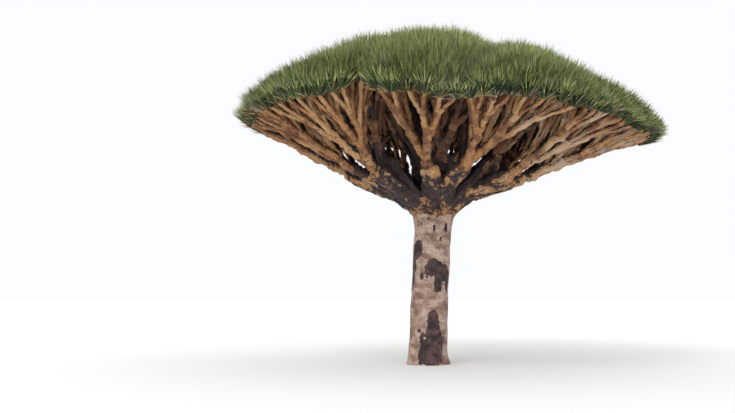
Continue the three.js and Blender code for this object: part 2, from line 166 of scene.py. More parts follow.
class BarkSettings(PropertyGroup):
    orange: colour("Orange Bark", "b48353", "Most of the arms")
    ochre: colour("Ochre Bark", "bd966b", "The lightest arms")
    brown: colour("Brown Bark", "9d7450", "The duller arms")
    # umber: arms deep in the crown, darker partly as painted shade
    umber: colour("Umber Bark", "7b5a41", "Arms deep in the crown")
    # the next two colours fill the purple-black bark near the head and also the painted shade on the arms'
    # upper sides, in their seams and deep in the crown
    dark: colour("Dark Bark", "463432", "Purple-black bark near the head")
    black_and_shade: colour("Soot", "2d2223", "The blackest of it")
    pale: colour("Pale Bark", "cbb9a6", "Peeling bark")
    rust: colour("Rust", "7a4c30", "Mottling of the orange bark")


class LeafSettings(PropertyGroup):
    size: length("Length", 0.52, "Length of a leaf")
    width: length("Width", 0.025, "Width of a leaf at its base")
    spread: share("Length Spread", 0.17, "Seeded change of its length")
    count: whole("Leaves", 104, "Leaves in one rosette")
    sink: length("Sink", 0.11, "A rosette's root below the dome")
    cushion: length("Cushion", 0.062, "Radius of the cushion that the leaves stand on")
    lean: angle("Lean", 44, "Lean of a rosette's outermost leaves")
    upright: share("Upright", 0.45, "Turn of a rosette from square on the dome towards upright")
    splay: share("Splay", 0.5, "Turn of a rosette outwards at the very rim of the low side,")
    splay_power: share("Splay Power", 6, "which dies away quickly above it")
    shelf: share("Shelf", 0.12, "Lowest slope of a leaf, above which it mostly stays")
    rim_size: share("Size at the Rim", 0.72, "Length of the leaves at the very rim, as a share")
    dry_count: whole("Dry Leaves", 8, "Dry leaves under a rosette at the rim")


class StageSettings(PropertyGroup):
    distance: length("Distance", 20, "From the camera to the tree")
    eye: length("Eye Height", 1.57, "Height of the camera")
    lens: FloatProperty(name="Lens", description="Focal length", default=53.1, unit="CAMERA")
    pitch: angle("Pitch", 3.77, "The camera looks up by this")
    yaw: angle("Yaw", 3.14, "The camera looks to the left by this")
    floor: length("Floor", 60, "Radius of the floor")
    floor_shade: colour("Floor Shade", "efeeec", "Colour of the floor")


class TreeSettings(PropertyGroup):
    trunk: PointerProperty(type=TrunkSettings)
    dome: PointerProperty(type=DomeSettings)
    limb: PointerProperty(type=LimbSettings)
    fork: PointerProperty(type=ForkSettings)
    bark: PointerProperty(type=BarkSettings)
    leaf: PointerProperty(type=LeafSettings)
    stage: PointerProperty(type=StageSettings)


# Rule of growth


class Patch(NamedTuple):
    """Part of the dome: shares of the way down it, and azimuths, that bound it."""

    upper: float
    lower: float
    left: float
    right: float


class Ring(NamedTuple):
    """A ring of masses. Its branches make for aim, a share of their patch counted from the top, and
    hang under it, by hang for a patch of one square metre."""

    name: str
    count: int
    upper: float
    lower: float
    first: float
    aim: float
    hang: float


class Mass(NamedTuple):
    name: str
    key: int
    limb: int
    patch: Patch
    ring: Ring


class Branch(NamedTuple):
    start: Vector
    end: Vector
    heading: Vector
    end_heading: Vector
    radius: float
    end_radius: float
    shade: str


class Rosette(NamedTuple):
    root: Vector
    axis: Vector
    outward: Vector
    down: float
    azimuth: float


DOME_WAVES = [(5, 0.7, 1.0), (8, 2.1, 0.6)]  # round the rim: how many, their shift and their share
NORMAL_STEP = 0.01  # the dome's slope is taken over this much to each side
NORMAL_TOP = 0.04  # and no nearer to its top than this
RINGS = [
    Ring("top", 3, 0, 0.36, -52.8, 0.7, 1.1),
    Ring("mid", 6, 0.36, 0.68, -112.8, 0.65, 0.1),
    Ring("rim", 12, 0.68, 1, -112.8, 0.85, 0.15),
]
# Places on a limb, as distances outwards and upwards from the head.
LIMB_START = (0.09, -0.13)
LIMB_KNEE = (0.3, 0.06)
LEADER_START = -0.05
LEADER_BOW = (-0.04, 0.03)
# Numbers that keep the seeded choices of a branch or a limb apart.
CUT_KEY = 1
RUN_KEY = 2
PAIR_KEY = 21
SHADE_KEY = 22
RISE_KEY = 900
REACH_KEY = 901


def chance(*keys):
    """A number from 0 to 1 that depends only on the whole numbers it is given."""
    h = SEED
    for key in keys:
        h = ((h ^ (key + 1)) * 2654435761) & 0xFFFFFFFF
        h ^= h >> 15
    h = (h * 2246822519) & 0xFFFFFFFF
    return (h ^ (h >> 13)) / 2**32


def jitter(size, *keys):
    return (chance(*keys) - 0.5) * 2 * size


def lerp(a, b, t):
    return a + (b - a) * t


def smoothstep(low, high, value):
    t = min(max((value - low) / (high - low), 0), 1)
    return t * t * (3 - 2 * t)


def lean_at(trunk, height):
    return trunk.lean * (max(height, 0) / trunk.fork_height) ** trunk.lean_power


def trunk_radius(trunk, height):
    flare = (trunk.root_radius - trunk.radius) * math.exp(-height / trunk.flare_height)
    swelling = smoothstep(trunk.fork_height - trunk.head_length, trunk.fork_height, height)
    return trunk.radius + flare + swelling * (trunk.head_radius - trunk.radius)


def head_of(tree):
    return Vector((lean_at(tree.trunk, tree.trunk.fork_height), 0, tree.trunk.fork_height))


def rim_radius(dome, azimuth):
    swing = sum(size * math.sin(count * azimuth + shift) for count, shift, size in DOME_WAVES)
    even = dome.rim_radius + dome.oval * math.cos(2 * azimuth)
    return even * (1 + dome.ripple * swing) + dome.rim_shift * math.cos(azimuth)


def rim_height(dome, azimuth):
    tilt = dome.rim_tilt * math.cos(azimuth - dome.low_side)
    return dome.rim_height - dome.rim_bow * math.cos(2 * azimuth) - tilt


def rim_edge(dome, azimuth):
    """Share of the way down to the rim that foliage reaches: less at the notch."""
    turn = azimuth - dome.notch_at
    off = math.atan2(math.sin(turn), math.cos(turn)) / dome.notch_width
    return 1 - dome.notch_depth * math.exp(-off * off)


def dome_point(tree, down, azimuth, lift=0):
    dome = tree.dome
    head = head_of(tree)
    reach = down * lerp(1, rim_edge(dome, azimuth), down * down)
    fall = lerp(reach**dome.round, reach**dome.turn, dome.turned)
    out = rim_radius(dome, azimuth) * reach
    height = dome.top - (dome.top - rim_height(dome, azimuth)) * fall + lift
    return Vector((head.x + out * math.cos(azimuth), head.y + out * math.sin(azimuth), height))


def dome_normal(tree, down, azimuth):
    low = max(down, NORMAL_TOP)
    step = NORMAL_STEP
    slope = dome_point(tree, low + step, azimuth) - dome_point(tree, low - step, azimuth)
    across = dome_point(tree, low, azimuth + step) - dome_point(tree, low, azimuth - step)
    return slope.cross(across).normalized()


def down_to(patch, part):
    """The way down that leaves a share of the patch above it, as seen from above."""
    return math.sqrt(lerp(patch.upper**2, patch.lower**2, part))


def patch_middle(patch, part=0.5):
    return down_to(patch, part), (patch.left + patch.right) / 2


def patch_sides(tree, patch):
    down, azimuth = patch_middle(patch)
    long = (dome_point(tree, patch.lower, azimuth) - dome_point(tree, patch.upper, azimuth)).length
    wide = (dome_point(tree, down, patch.right) - dome_point(tree, down, azimuth)).length * 2
    return long, wide


def patch_area(tree, patch):
    long, wide = patch_sides(tree, patch)
    return long * wide


def cut_patch(tree, patch, *keys):
    long, wide = patch_sides(tree, patch)
    part = 0.5 + jitter(tree.fork.uneven / 2, *keys, CUT_KEY)
    if wide > long:
        cut = lerp(patch.left, patch.right, part)
        return patch._replace(right=cut), patch._replace(left=cut)
    cut = down_to(patch, part)
    return patch._replace(lower=cut), patch._replace(upper=cut)


def swell_at(tree, mass, down, azimuth):
    """How proud of the dome a mass stands at one place: most at its middle, nothing at its edges."""
    patch = mass.patch
    along = (down - patch.upper) / (patch.lower - patch.upper) - 0.5
    across = (azimuth - patch.left) / (patch.right - patch.left) - 0.5
    if patch.lower == 1:
        along = min(along, 0)
    return tree.dome.swell * max(0, 1 - 4 * along * along) * max(0, 1 - 4 * across * across)


def mass_point(tree, mass, down, azimuth):
    return dome_point(tree, down, azimuth, swell_at(tree, mass, down, azimuth))


def aim_of(tree, mass, patch):
    under = mass.ring.hang * math.sqrt(patch_area(tree, patch))
    return mass_point(tree, mass, *patch_middle(patch, mass.ring.aim)) - UP * under


def branch_radius(fork, area):
    return fork.pipe * (area / fork.pipe_patch) ** fork.pipe_power


def masses_of(tree):
    masses = []
    for level, ring in enumerate(RINGS):
        turn = math.radians(360 / ring.count)
        for i in range(ring.count):
            limb = tree.limb.count if ring.name == "top" else i * tree.limb.count // ring.count
            left = math.radians(ring.first) + turn * i
            patch = Patch(ring.upper, ring.lower, left, left + turn)
            masses.append(Mass(f"{ring.name}_{i + 1:02d}", level * 100 + i, limb, patch, ring))
    return masses


class Bend(NamedTuple):
    """A curve from its root past its knee to its tip."""

    root: Vector
    knee: Vector
    tip: Vector

    def at(self, t):
        return self.root * (1 - t) ** 2 + self.knee * (2 * t * (1 - t)) + self.tip * t**2

    def heading(self, t):
        return ((self.knee - self.root) * (1 - t) + (self.tip - self.knee) * t).normalized()


def limb_bends(tree):
    """Each limb's name, curve, root radius and tip radius."""
    limb = tree.limb
    head = head_of(tree)
    bends = []
    for i in range(limb.count):
        azimuth = math.radians(RINGS[2].first + 360 / limb.count * (i + 0.5))
        outward = Vector((math.cos(azimuth), math.sin(azimuth), 0))
        rise = limb.rise + jitter(limb.rise_spread, RISE_KEY, i)
        reach = limb.reach + jitter(limb.reach_spread, REACH_KEY, i)
        tip = (reach * math.cos(rise), reach * math.sin(rise))
        places = [head + outward * out + UP * up for out, up in (LIMB_START, LIMB_KNEE, tip)]
        bends.append((f"limb_{i + 1}", Bend(*places), limb.root, limb.tip))
    knee = head + Vector((*LEADER_BOW, limb.leader_reach / 2))
    leader = Bend(head + UP * LEADER_START, knee, head + UP * limb.leader_reach)
    bends.append(("limb_centre", leader, limb.leader_root, limb.leader_tip))
    return bends


def bough_bend(tree, mass, limb_bend):
    """A bough runs from its limb's knuckle towards the low edge of its mass, and bends up on the way."""
    limb = tree.limb
    knuckle = limb_bend.at(1)
    aim = aim_of(tree, mass, mass.patch)
    tip = knuckle.lerp(aim, limb.bough_share) - UP * limb.bough_sag
    ahead = (aim - tip).normalized()
    knee = tip - ahead * ((tip - knuckle).length * limb.bough_bend)
    return Bend(knuckle - limb_bend.heading(1) * limb.bough_sink, knee, tip)


# Worn seams in the foliage, as places seen from above.
SEAMS = [
    [(0.12, -3.6), (0.5, -3.3), (0.85, -2.8), (1.08, -1.2), (1.1, -0.2)],
    [(2.1, -1.7), (2.45, -1.9), (2.85, -2.5)],
]
SEAM_WIDTH = 0.42
SEAM_DEPTH = 0.06
RIM_SEAT = 0.97  # an outermost rosette stands this near the rim, as a share of its patch
SEAT_RISE = 0.5  # share of its sink that a rosette at the very rim has lost
SEAT_POWER = 8
RIM_UPRIGHT = 0.8  # turn of such a rosette towards upright
UPRIGHT_POWER = 6
NECK = 0.55  # share of a fork's turn that a branch has made where it leaves
BRANCH_TAPER = 0.93
TWIG_TAPER = 0.9
ARM_SHADES = {"orange": 0.5, "ochre": 0.3, "brown": 0.2}  # bark of the arms that carry the rim
INNER_SHADES = {"umber": 0.4, "brown": 0.3, "charred": 0.3}  # and of those deeper in the crown, darker in part as painted shade
PAIR_SHARE = 0.8  # how much of its shade a branch has from its fork
OWN_SHARE = 0.2  # and of its own


def bark_shade(mass, path):
    """Which bark a branch has, dealt out by seed. The two arms of a fork mostly share it."""
    shades = ARM_SHADES if mass.ring.name == "rim" else INNER_SHADES
    own = chance(mass.key, path, SHADE_KEY)
    draw = chance(mass.key, path // 2, PAIR_KEY) * PAIR_SHARE + own * OWN_SHARE
    for shade, part in shades.items():
        draw -= part
        if draw < 0:
            return shade
    return shade


def side_of(tree, azimuth):
    """How far on the rim's low side an azimuth is, from 0 to 1."""
    return max(0, math.cos(azimuth - tree.dome.low_side))


def rosette_axis(tree, normal, outward, down, azimuth):
    leaf = tree.leaf
    stand = normal.lerp(UP, lerp(leaf.upright, RIM_UPRIGHT, down**UPRIGHT_POWER))
    splay = leaf.splay * side_of(tree, azimuth) * down**leaf.splay_power
    return stand.lerp(outward, splay).normalized()


def seam_at(place):
    """How near a place is to one of the crown's worn seams, from 0 to 1."""
    nearest = SEAM_WIDTH
    for seam in SEAMS:
        for (x0, y0), (x1, y1) in zip(seam, seam[1:]):
            along = Vector((x1 - x0, y1 - y0))
            off = Vector((place.x - x0, place.y - y0))
            t = min(max(off.dot(along) / along.length_squared, 0), 1)
            nearest = min(nearest, (off - along * t).length)
    return 1 - nearest / SEAM_WIDTH


def seat_rosette(tree, mass, patch):
    """The rosette that a small patch holds, and the way out of the dome there."""
    down, azimuth = patch_middle(patch, RIM_SEAT if patch.lower == 1 else 0.5)
    normal = dome_normal(tree, down, azimuth)
    outward = Vector((math.cos(azimuth), math.sin(azimuth), 0))
    seat = mass_point(tree, mass, down, azimuth)
    sink = tree.leaf.sink * (1 - SEAT_RISE * down**SEAT_POWER) + SEAM_DEPTH * seam_at(seat)
    axis = rosette_axis(tree, normal, outward, down, azimuth)
    return Rosette(seat - normal * sink, axis, outward, down, azimuth), normal


def grow_branch(tree, mass, patch, start, heading, path, branches, rosettes):
    """Grows one branch. Where its patch is large it runs part of the way and parts in two."""
    fork = tree.fork
    area = patch_area(tree, patch)
    radius = branch_radius(fork, area)
    shade = bark_shade(mass, path)
    if area <= fork.finest:
        rosette, normal = seat_rosette(tree, mass, patch)
        chord = (rosette.root - start).normalized()
        arrive = (chord + normal).normalized()
        leave = heading.lerp(chord, NECK).normalized()
        branches.append(Branch(start, rosette.root, leave, arrive, radius, radius * TWIG_TAPER, shade))
        rosettes.append(rosette)
        return
    aim = aim_of(tree, mass, patch)
    uneven = 1 + jitter(fork.spread, mass.key, path, RUN_KEY)
    stand = (fork.stand + fork.stand_area * area**fork.power) * uneven
    run = max(fork.least, 1 - stand / (aim - start).length)
    end = start.lerp(aim, run)
    chord = (end - start).normalized()
    leave = heading.lerp(chord, NECK).normalized()
    branches.append(Branch(start, end, leave, chord, radius, radius * BRANCH_TAPER, shade))
    for step, half in enumerate(cut_patch(tree, patch, mass.key, path)):
        grow_branch(tree, mass, half, end, chord, path * 2 + step, branches, rosettes)


def grow_crown(tree):
    """All branches and rosettes of the crown, from the tips of the boughs on."""
    branches, rosettes = [], []
    limbs = limb_bends(tree)
    for mass in masses_of(tree):
        bend = bough_bend(tree, mass, limbs[mass.limb][1])
        grow_branch(tree, mass, mass.patch, bend.at(1), bend.heading(1), 1, branches, rosettes)
    return branches, rosettes


# Meshes


def finish_piece(obj, nodes):
    bpy.context.scene.collection.objects.link(obj)
    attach(obj, "root")
    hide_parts(*nodes)
    return obj


def piece_from_bmesh(name, bm, material, nodes):
    mesh = bpy.data.meshes.new(name)
    bmesh.ops.recalc_face_normals(bm, faces=bm.faces)
    bm.to_mesh(mesh)
    bm.free()
    mesh.shade_smooth()
    mesh.materials.append(material)
    return finish_piece(bpy.data.objects.new(name, mesh), nodes)


def piece_from_arrays(name, places, faces, maps, looks, materials, smooth, slot, nodes, uppers=None):
    """A joined mesh. faces is a list of arrays, each with its own number of corners. maps holds one
    pair for each place, looks one material index for each face, and uppers how far each place lies
    on the upper side of its arm."""
    mesh = bpy.data.meshes.new(name)
    corners = np.concatenate([part.ravel() for part in faces]).astype(np.int32)
    counts = np.concatenate([np.full(len(part), part.shape[1]) for part in faces]).astype(np.int32)
    mesh.vertices.add(len(places))
    mesh.vertices.foreach_set("co", places.astype(np.float32).ravel())
    mesh.loops.add(len(corners))
    mesh.loops.foreach_set("vertex_index", corners)
    mesh.polygons.add(len(counts))
    mesh.polygons.foreach_set("loop_start", (np.cumsum(counts) - counts).astype(np.int32))
    mesh.polygons.foreach_set("use_smooth", np.full(len(counts), smooth))
    mesh.polygons.foreach_set("material_index", looks.astype(np.int32))
    layer = mesh.uv_layers.new(name="along")
    layer.data.foreach_set("uv", maps[corners].astype(np.float32).ravel())
    if uppers is not None:
        mesh.attributes.new("upper", "FLOAT", "POINT").data.foreach_set("value", uppers.astype(np.float32))
    for material in materials:
        mesh.materials.append(material)
    mesh.update(calc_edges=True)
    mesh.validate()
    return finish_piece(bpy.data.objects.new(name, mesh), nodes)


# Shaders

SOCKETS = {"vector": "NodeSocketVector", "value": "NodeSocketFloat", "colour": "NodeSocketColor"}


class Shader:
    """Adds nodes to one tree, each linked as it is made."""

    def __init__(self, tree):
        self.tree = tree

    def fill(self, socket, value):
        """Links a socket or sets it. A colour is given without its alpha."""
        if isinstance(value, bpy.types.NodeSocket):
            self.tree.links.new(value, socket)
        elif hasattr(value, "__len__"):
            socket.default_value = (*value[:3], 1)[: len(socket.default_value)]
        else:
            socket.default_value = value

    def add(self, kind, values=None, **settings):
        node = self.tree.nodes.new(kind)
        for key, value in settings.items():
            setattr(node, key, value)
        for socket, value in (values or {}).items():
            self.fill(node.inputs[socket], value)
        return node

    def grouped(self, group, values):
        return self.add("ShaderNodeGroup", values, node_tree=group).outputs

    def place(self):
        return self.add("ShaderNodeTexCoord").outputs["Object"]

    def attribute(self, name):
        return self.add("ShaderNodeAttribute", attribute_name=name).outputs["Fac"]

    def axis(self, vector, name):
        return self.add("ShaderNodeSeparateXYZ", {"Vector": vector}).outputs[name]

    def stretched(self, vector, scale):
        return self.add("ShaderNodeMapping", {"Vector": vector, "Scale": scale}).outputs["Vector"]

    def noise(self, vector, scale, detail=4.0, roughness=0.6, distortion=0.0):
        values = {
            "Vector": vector,
            "Scale": scale,
            "Detail": detail,
            "Roughness": roughness,
            "Distortion": distortion,
        }
        return self.add("ShaderNodeTexNoise", values).outputs["Fac"]

    def span(self, value, low, high, to_low=0.0, to_high=1.0):
        values = {"Value": value, "From Min": low, "From Max": high, "To Min": to_low, "To Max": to_high}
        return self.add("ShaderNodeMapRange", values, interpolation_type="SMOOTHSTEP").outputs["Result"]

    def math(self, operation, first, second):
        return self.add("ShaderNodeMath", {0: first, 1: second}, operation=operation).outputs[0]

    def plus(self, first, second):
        return self.math("ADD", first, second)

    def times(self, first, second):
        return self.math("MULTIPLY", first, second)

    def vector_math(self, operation, first, second):
        outputs = self.add("ShaderNodeVectorMath", {0: first, 1: second}, operation=operation).outputs
        return outputs["Value" if operation == "DISTANCE" else "Vector"]

    def mix(self, factor, first, second, blend="MIX"):
        values = {0: factor, 6: first, 7: second}
        return self.add("ShaderNodeMix", values, data_type="RGBA", blend_type=blend).outputs[2]


def new_group(title, inputs, outputs):
    """A new node group's shader, and the sockets inside it that carry what it is given and gives."""
    group = bpy.data.node_groups.new(title, "ShaderNodeTree")
    for way, sockets in (("INPUT", inputs), ("OUTPUT", outputs)):
        for name, kind in sockets.items():
            group.interface.new_socket(name, in_out=way, socket_type=SOCKETS[kind])
    shader = Shader(group)
    return shader, shader.add("NodeGroupInput").outputs, shader.add("NodeGroupOutput").inputs


def mottle_group():
    """Two colours in blotches, with fine grain over them."""
    title = "Bark mottle"
    if title in bpy.data.node_groups:
        return bpy.data.node_groups[title]
    wanted = {"Place": "vector", "Scale": "value", "First": "colour", "Second": "colour", "Grain": "value"}
    shader, given, out = new_group(title, wanted, {"Colour": "colour", "Height": "value"})
    broad = shader.noise(given["Place"], given["Scale"], 5, 0.62)
    fine = shader.noise(given["Place"], shader.times(given["Scale"], 7.0), 4, 0.7)
    mixed = shader.mix(shader.span(broad, 0.4, 0.62), given["First"], given["Second"])
    speck = shader.mix(given["Grain"], (1, 1, 1), shader.span(fine, 0.34, 0.68, 0.5, 1.35))
    shader.fill(out["Colour"], shader.mix(1.0, mixed, speck, "MULTIPLY"))
    shader.fill(out["Height"], shader.plus(shader.times(broad, 0.6), fine))
    return shader.tree


def scar_group():
    """Faint leaf scars that ring a trunk or an arm. Along is the distance along it."""
    title = "Ring scars"
    if title in bpy.data.node_groups:
        return bpy.data.node_groups[title]
    wanted = {"Place": "vector", "Along": "value", "Pitch": "value", "Edge": "value"}
    shader, given, out = new_group(title, wanted, {"Mask": "value"})
    drift = shader.noise(given["Place"], 2.4, 3, 0.6)
    bent = shader.plus(given["Along"], shader.times(drift, given["Pitch"]))
    turns = shader.math("DIVIDE", bent, given["Pitch"])
    seat = shader.add("ShaderNodeCombineXYZ", {"Z": turns}).outputs[0]
    line = shader.span(shader.noise(seat, 1.0, 2, 0.5), given["Edge"], 0.72)
    broken = shader.span(shader.noise(given["Place"], 9.0, 3, 0.6), 0.42, 0.6)
    shader.fill(out["Mask"], shader.times(line, broken))
    return shader.tree


def new_material(name, roughness):
    material = bpy.data.materials.new(name)
    material.use_nodes = True
    surface = material.node_tree.nodes["Principled BSDF"]
    surface.inputs["Roughness"].default_value = roughness
    return material, Shader(material.node_tree), surface


def bump(shader, surface, height, strength, distance):
    values = {"Height": height, "Strength": strength, "Distance": distance}
    relief = shader.add("ShaderNodeBump", values)
    shader.fill(surface.inputs["Normal"], relief.outputs["Normal"])


SQUAT = (1.0, 1.0, 1.7)  # stretch of the trunk's blotches, which are wider than high
TALL = (3.0, 3.0, 0.7)  # and of its stains, which are higher than wide
STREAK_STRENGTH = 0.55  # of the rings on the trunk
STAIN_STRENGTH = 0.5
FRAY = 0.5  # how far a wound's edge frays
DECAY_EDGE = (0.62, 0.86)  # where that edge lies


def trunk_material(trunk):
    material, shader, surface = new_material("trunk_bark", 0.85)
    place = shader.place()
    squat = shader.stretched(place, SQUAT)
    values = {"Place": squat, "Scale": 3.2, "First": trunk.pale, "Second": trunk.rosy, "Grain": 0.55}
    mottle = shader.grouped(mottle_group(), values)
    values = {"Place": place, "Along": shader.axis(place, "Z"), "Pitch": 0.028, "Edge": 0.5}
    scars = shader.grouped(scar_group(), values)["Mask"]
    scarred = shader.mix(shader.times(scars, STREAK_STRENGTH), mottle["Colour"], trunk.streak)
    stain = shader.noise(shader.stretched(place, TALL), 1.6, 5, 0.65)
    stained = shader.mix(shader.span(stain, 0.55, 0.75, 0.0, STAIN_STRENGTH), scarred, trunk.streak)
    frayed = shader.times(shader.noise(place, 26.0, 4, 0.7), FRAY)
    decayed = shader.span(shader.plus(shader.attribute("wound"), frayed), *DECAY_EDGE)
    values = {"Place": place, "Scale": 7.0, "First": trunk.decay, "Second": trunk.decay_light, "Grain": 0.9}
    rot = shader.grouped(mottle_group(), values)["Colour"]
    shader.fill(surface.inputs["Base Color"], shader.mix(decayed, stained, rot))
    relief = shader.math("SUBTRACT", mottle["Height"], shader.times(scars, 0.5))
    bump(shader, surface, relief, 0.55, 0.012)
    return material


DARKEST = (-0.13, -0.2, 0.64)  # middle of the dark patches, counted from the head: dark bark, and painted shade of the crown's inside
DARK_REACH = (0.2, 1.45)  # distances from there between which they thin out
DARK_CORE = 0.57  # how much more of the bark is dark at that middle
DARK_UNDER = 0.24  # and along the lowest arms, partly painted shade under the crown
UNDER_SLOPES = (0.3, 0.62)  # slopes from the head, between which that fades
UNDER_START = (0.4, 0.9)  # distances from the head over which it sets in
UNDER_END = (1.5, 2.5)  # and over which it ends
DARK_EDGE = (0.74, 0.82)  # where a patch's edge lies


def dark_and_shade_group():
    """Ragged dark patches that crowd round the head and along the lowest arms: partly dark bark, partly
    painted shade of the crown's inside and underside.
    """
    title = "Dark patches"
    if title in bpy.data.node_groups:
        return bpy.data.node_groups[title]
    wanted = {"Place": "vector", "Head": "vector", "Share": "value"}
    shader, given, out = new_group(title, wanted, {"Mask": "value"})
    ragged = shader.span(shader.noise(given["Place"], 4.6, 8, 0.74, 0.3), 0.3, 0.7, 0.1, 0.9)
    core = shader.vector_math("ADD", given["Head"], DARKEST)
    apart = shader.vector_math("DISTANCE", given["Place"], core)
    near = shader.span(apart, *DARK_REACH, DARK_CORE, 0.0)
    away = shader.vector_math("DISTANCE", given["Place"], given["Head"])
    rise = shader.axis(shader.vector_math("SUBTRACT", given["Place"], given["Head"]), "Z")
    under = shader.span(shader.math("DIVIDE", rise, away), *UNDER_SLOPES, DARK_UNDER, 0.0)
    under = shader.times(under, shader.span(away, *UNDER_START))
    under = shader.times(under, shader.span(away, *UNDER_END, 1.0, 0.0))
    crowded = shader.plus(shader.plus(ragged, near), shader.plus(given["Share"], under))
    shader.fill(out["Mask"], shader.span(crowded, *DARK_EDGE))
    return shader.tree


def peel_group():
    """Thin pale strips of peeling bark that run along an arm. Along is its own map."""
    title = "Peeling strips"
    if title in bpy.data.node_groups:
        return bpy.data.node_groups[title]
    wanted = {"Place": "vector", "Along": "vector", "Share": "value"}
    shader, given, out = new_group(title, wanted, {"Mask": "value"})
    strips = shader.noise(shader.stretched(given["Along"], (9.0, 1.6, 1.0)), 1.0, 3, 0.6, 0.4)
    broken = shader.times(shader.noise(given["Place"], 3.0, 3, 0.6), 0.5)
    shown = shader.plus(shader.plus(strips, broken), given["Share"])
    shader.fill(out["Mask"], shader.span(shown, 0.95, 1.02))
    return shader.tree


PEEL_SIDE = (0.2, 2.4)  # places along X between which the bark peels more and more
PEEL_GAIN = 0.13  # and by how much
SEAM_DARK = 0.2  # painted shade: how much more of the seams between fused arms is dark
UPPER_DARK = 0.4  # and of the upper sides of arms: painted shade under the leaves
UPPER_EDGE = (-0.35, 0.55)  # how far up the side of an arm that painted shade sets in


def arm_material(name, bark, first, second, head, dark_and_shade, peel):
    """Bark of an arm. The share given after head is how much of it is purple-black, partly dark bark and
    partly painted shade deep in the crown, and peel how much comes off in strips.
    """
    material, shader, surface = new_material(name, 0.82)
    place = shader.place()
    values = {"Place": place, "Scale": 5.5, "First": first, "Second": second, "Grain": 0.9}
    mottle = shader.grouped(mottle_group(), values)
    along = shader.add("ShaderNodeUVMap", uv_map="along").outputs["UV"]
    values = {"Place": place, "Along": shader.axis(along, "Y"), "Pitch": 0.04, "Edge": 0.48}
    scars = shader.grouped(scar_group(), values)["Mask"]
    scarred = shader.mix(shader.times(scars, 0.6), mottle["Colour"], bark.rust)
    loose = shader.span(shader.axis(place, "X"), *PEEL_SIDE, peel, peel + PEEL_GAIN)
    strips = shader.grouped(peel_group(), {"Place": place, "Along": along, "Share": loose})["Mask"]
    peeled = shader.mix(shader.times(strips, 0.7), scarred, bark.pale)
    # painted shade: the upper sides of the arms, under the leaves, are darker
    upper_shade = shader.span(shader.attribute("upper"), *UPPER_EDGE, 0.0, UPPER_DARK)
    # painted shade of the seams and upper sides, added to the share of dark bark
    dark_and_shade_sum = shader.plus(shader.times(shader.attribute("seam"), SEAM_DARK), shader.plus(upper_shade, dark_and_shade))
    dark_and_shade_mask = shader.grouped(dark_and_shade_group(), {"Place": place, "Head": head, "Share": dark_and_shade_sum})["Mask"]
    # one purple-black colour for both the dark bark and the painted shade
    values = {"Place": place, "Scale": 9.0, "First": bark.dark, "Second": bark.black_and_shade, "Grain": 0.9}
    black_and_shade = shader.grouped(mottle_group(), values)["Colour"]
    shader.fill(surface.inputs["Base Color"], shader.mix(dark_and_shade_mask, peeled, black_and_shade))
    bump(shader, surface, mottle["Height"], 0.9, 0.016)
    return material


def leaf_material(name, shade, roughness):
    """Leaves of one tint: a plain colour, with a slightly uneven sheen."""
    material, shader, surface = new_material(name, roughness)
    shader.fill(surface.inputs["Base Color"], shade)
    shader.fill(surface.inputs["Specular IOR Level"], 0.3)
    wax = shader.noise(shader.place(), 30.0, 2, 0.5)
    sheen = shader.span(wax, 0.3, 0.7, roughness - 0.08, roughness + 0.15)
    shader.fill(surface.inputs["Roughness"], sheen)
    return material


# Trunk


class Wound(NamedTuple):
    """A dark sunken patch on the trunk. Its width is measured round the trunk."""

    azimuth: float
    height: float
    width: float
    tall: float
    depth: float


WOUNDS = [
    Wound(-88, 1.74, 0.3, 0.38, 0.022),  # the large one at half height
    Wound(-66, 1.7, 0.3, 0.32, 0.02),  # its middle
    Wound(-46, 1.67, 0.32, 0.3, 0.02),  # its right side
    Wound(-64, 1.46, 0.2, 0.36, 0.014),  # its tail
    Wound(-24, 1.5, 0.13, 0.44, 0.012),
    Wound(-143, 2.1, 0.27, 0.34, 0.02),  # at the left edge
    Wound(-160, 1.76, 0.16, 0.66, 0.012),  # and the split below it
    Wound(-77, 0.3, 0.5, 0.76, 0.014),  # low on the right
    Wound(-76, 0.76, 0.24, 0.5, 0.012),
    Wound(-76, 2.8, 0.44, 0.2, 0.01),  # under the limbs
    Wound(-86, 2.47, 0.06, 0.13, 0.022),
    Wound(-46, 2.49, 0.08, 0.18, 0.02),
    Wound(-63, 2.28, 0.045, 0.1, 0.016),
    Wound(-103, 2.65, 0.05, 0.06, 0.016),
    Wound(-128, 2.56, 0.05, 0.06, 0.016),
    Wound(-119, 1.6, 0.075, 0.13, 0.018),
    Wound(-120, 0.62, 0.06, 0.07, 0.014),
    Wound(20, 2.2, 0.3, 0.4, 0.018),  # out of view
    Wound(75, 1.2, 0.36, 0.3, 0.02),
    Wound(150, 0.55, 0.4, 0.6, 0.014),
]
WOUND_EDGE = (0.8, 1.15)  # where a wound's edge lies, in half its size
RAGGED = 0.32  # how far that edge strays
COLLAR = 2.82  # above this height the trunk is as dark as a wound
COLLAR_EDGE = (-0.02, 0.05)  # heights from there between which that sets in
COLLAR_RAGGED = 0.18  # how far its edge strays, next to a wound's
WOUND_RAGS = ((1.0, 2.1), (0.6, 5.3))  # sizes and frequencies of its teeth
WOUND_GRAIN = 0.008  # height of the rough wood in a wound
TRUNK_LUMPS = ((0.016, 2.6), (0.007, 7.0))  # heights and frequencies of the bark's lumps
TRUNK_BAND = 0.0035  # height of its rings
TRUNK_GRAIN = 0.0025
FOOT_RING = 0.6  # radius of the ring inside the flat cut, as a share
HEAD_RINGS = 12  # rings of the rounded top


def layered(place, layers):
    """Seeded unevenness of several sizes and frequencies."""
    return sum(size * noise.noise(place * pitch) for size, pitch in layers)


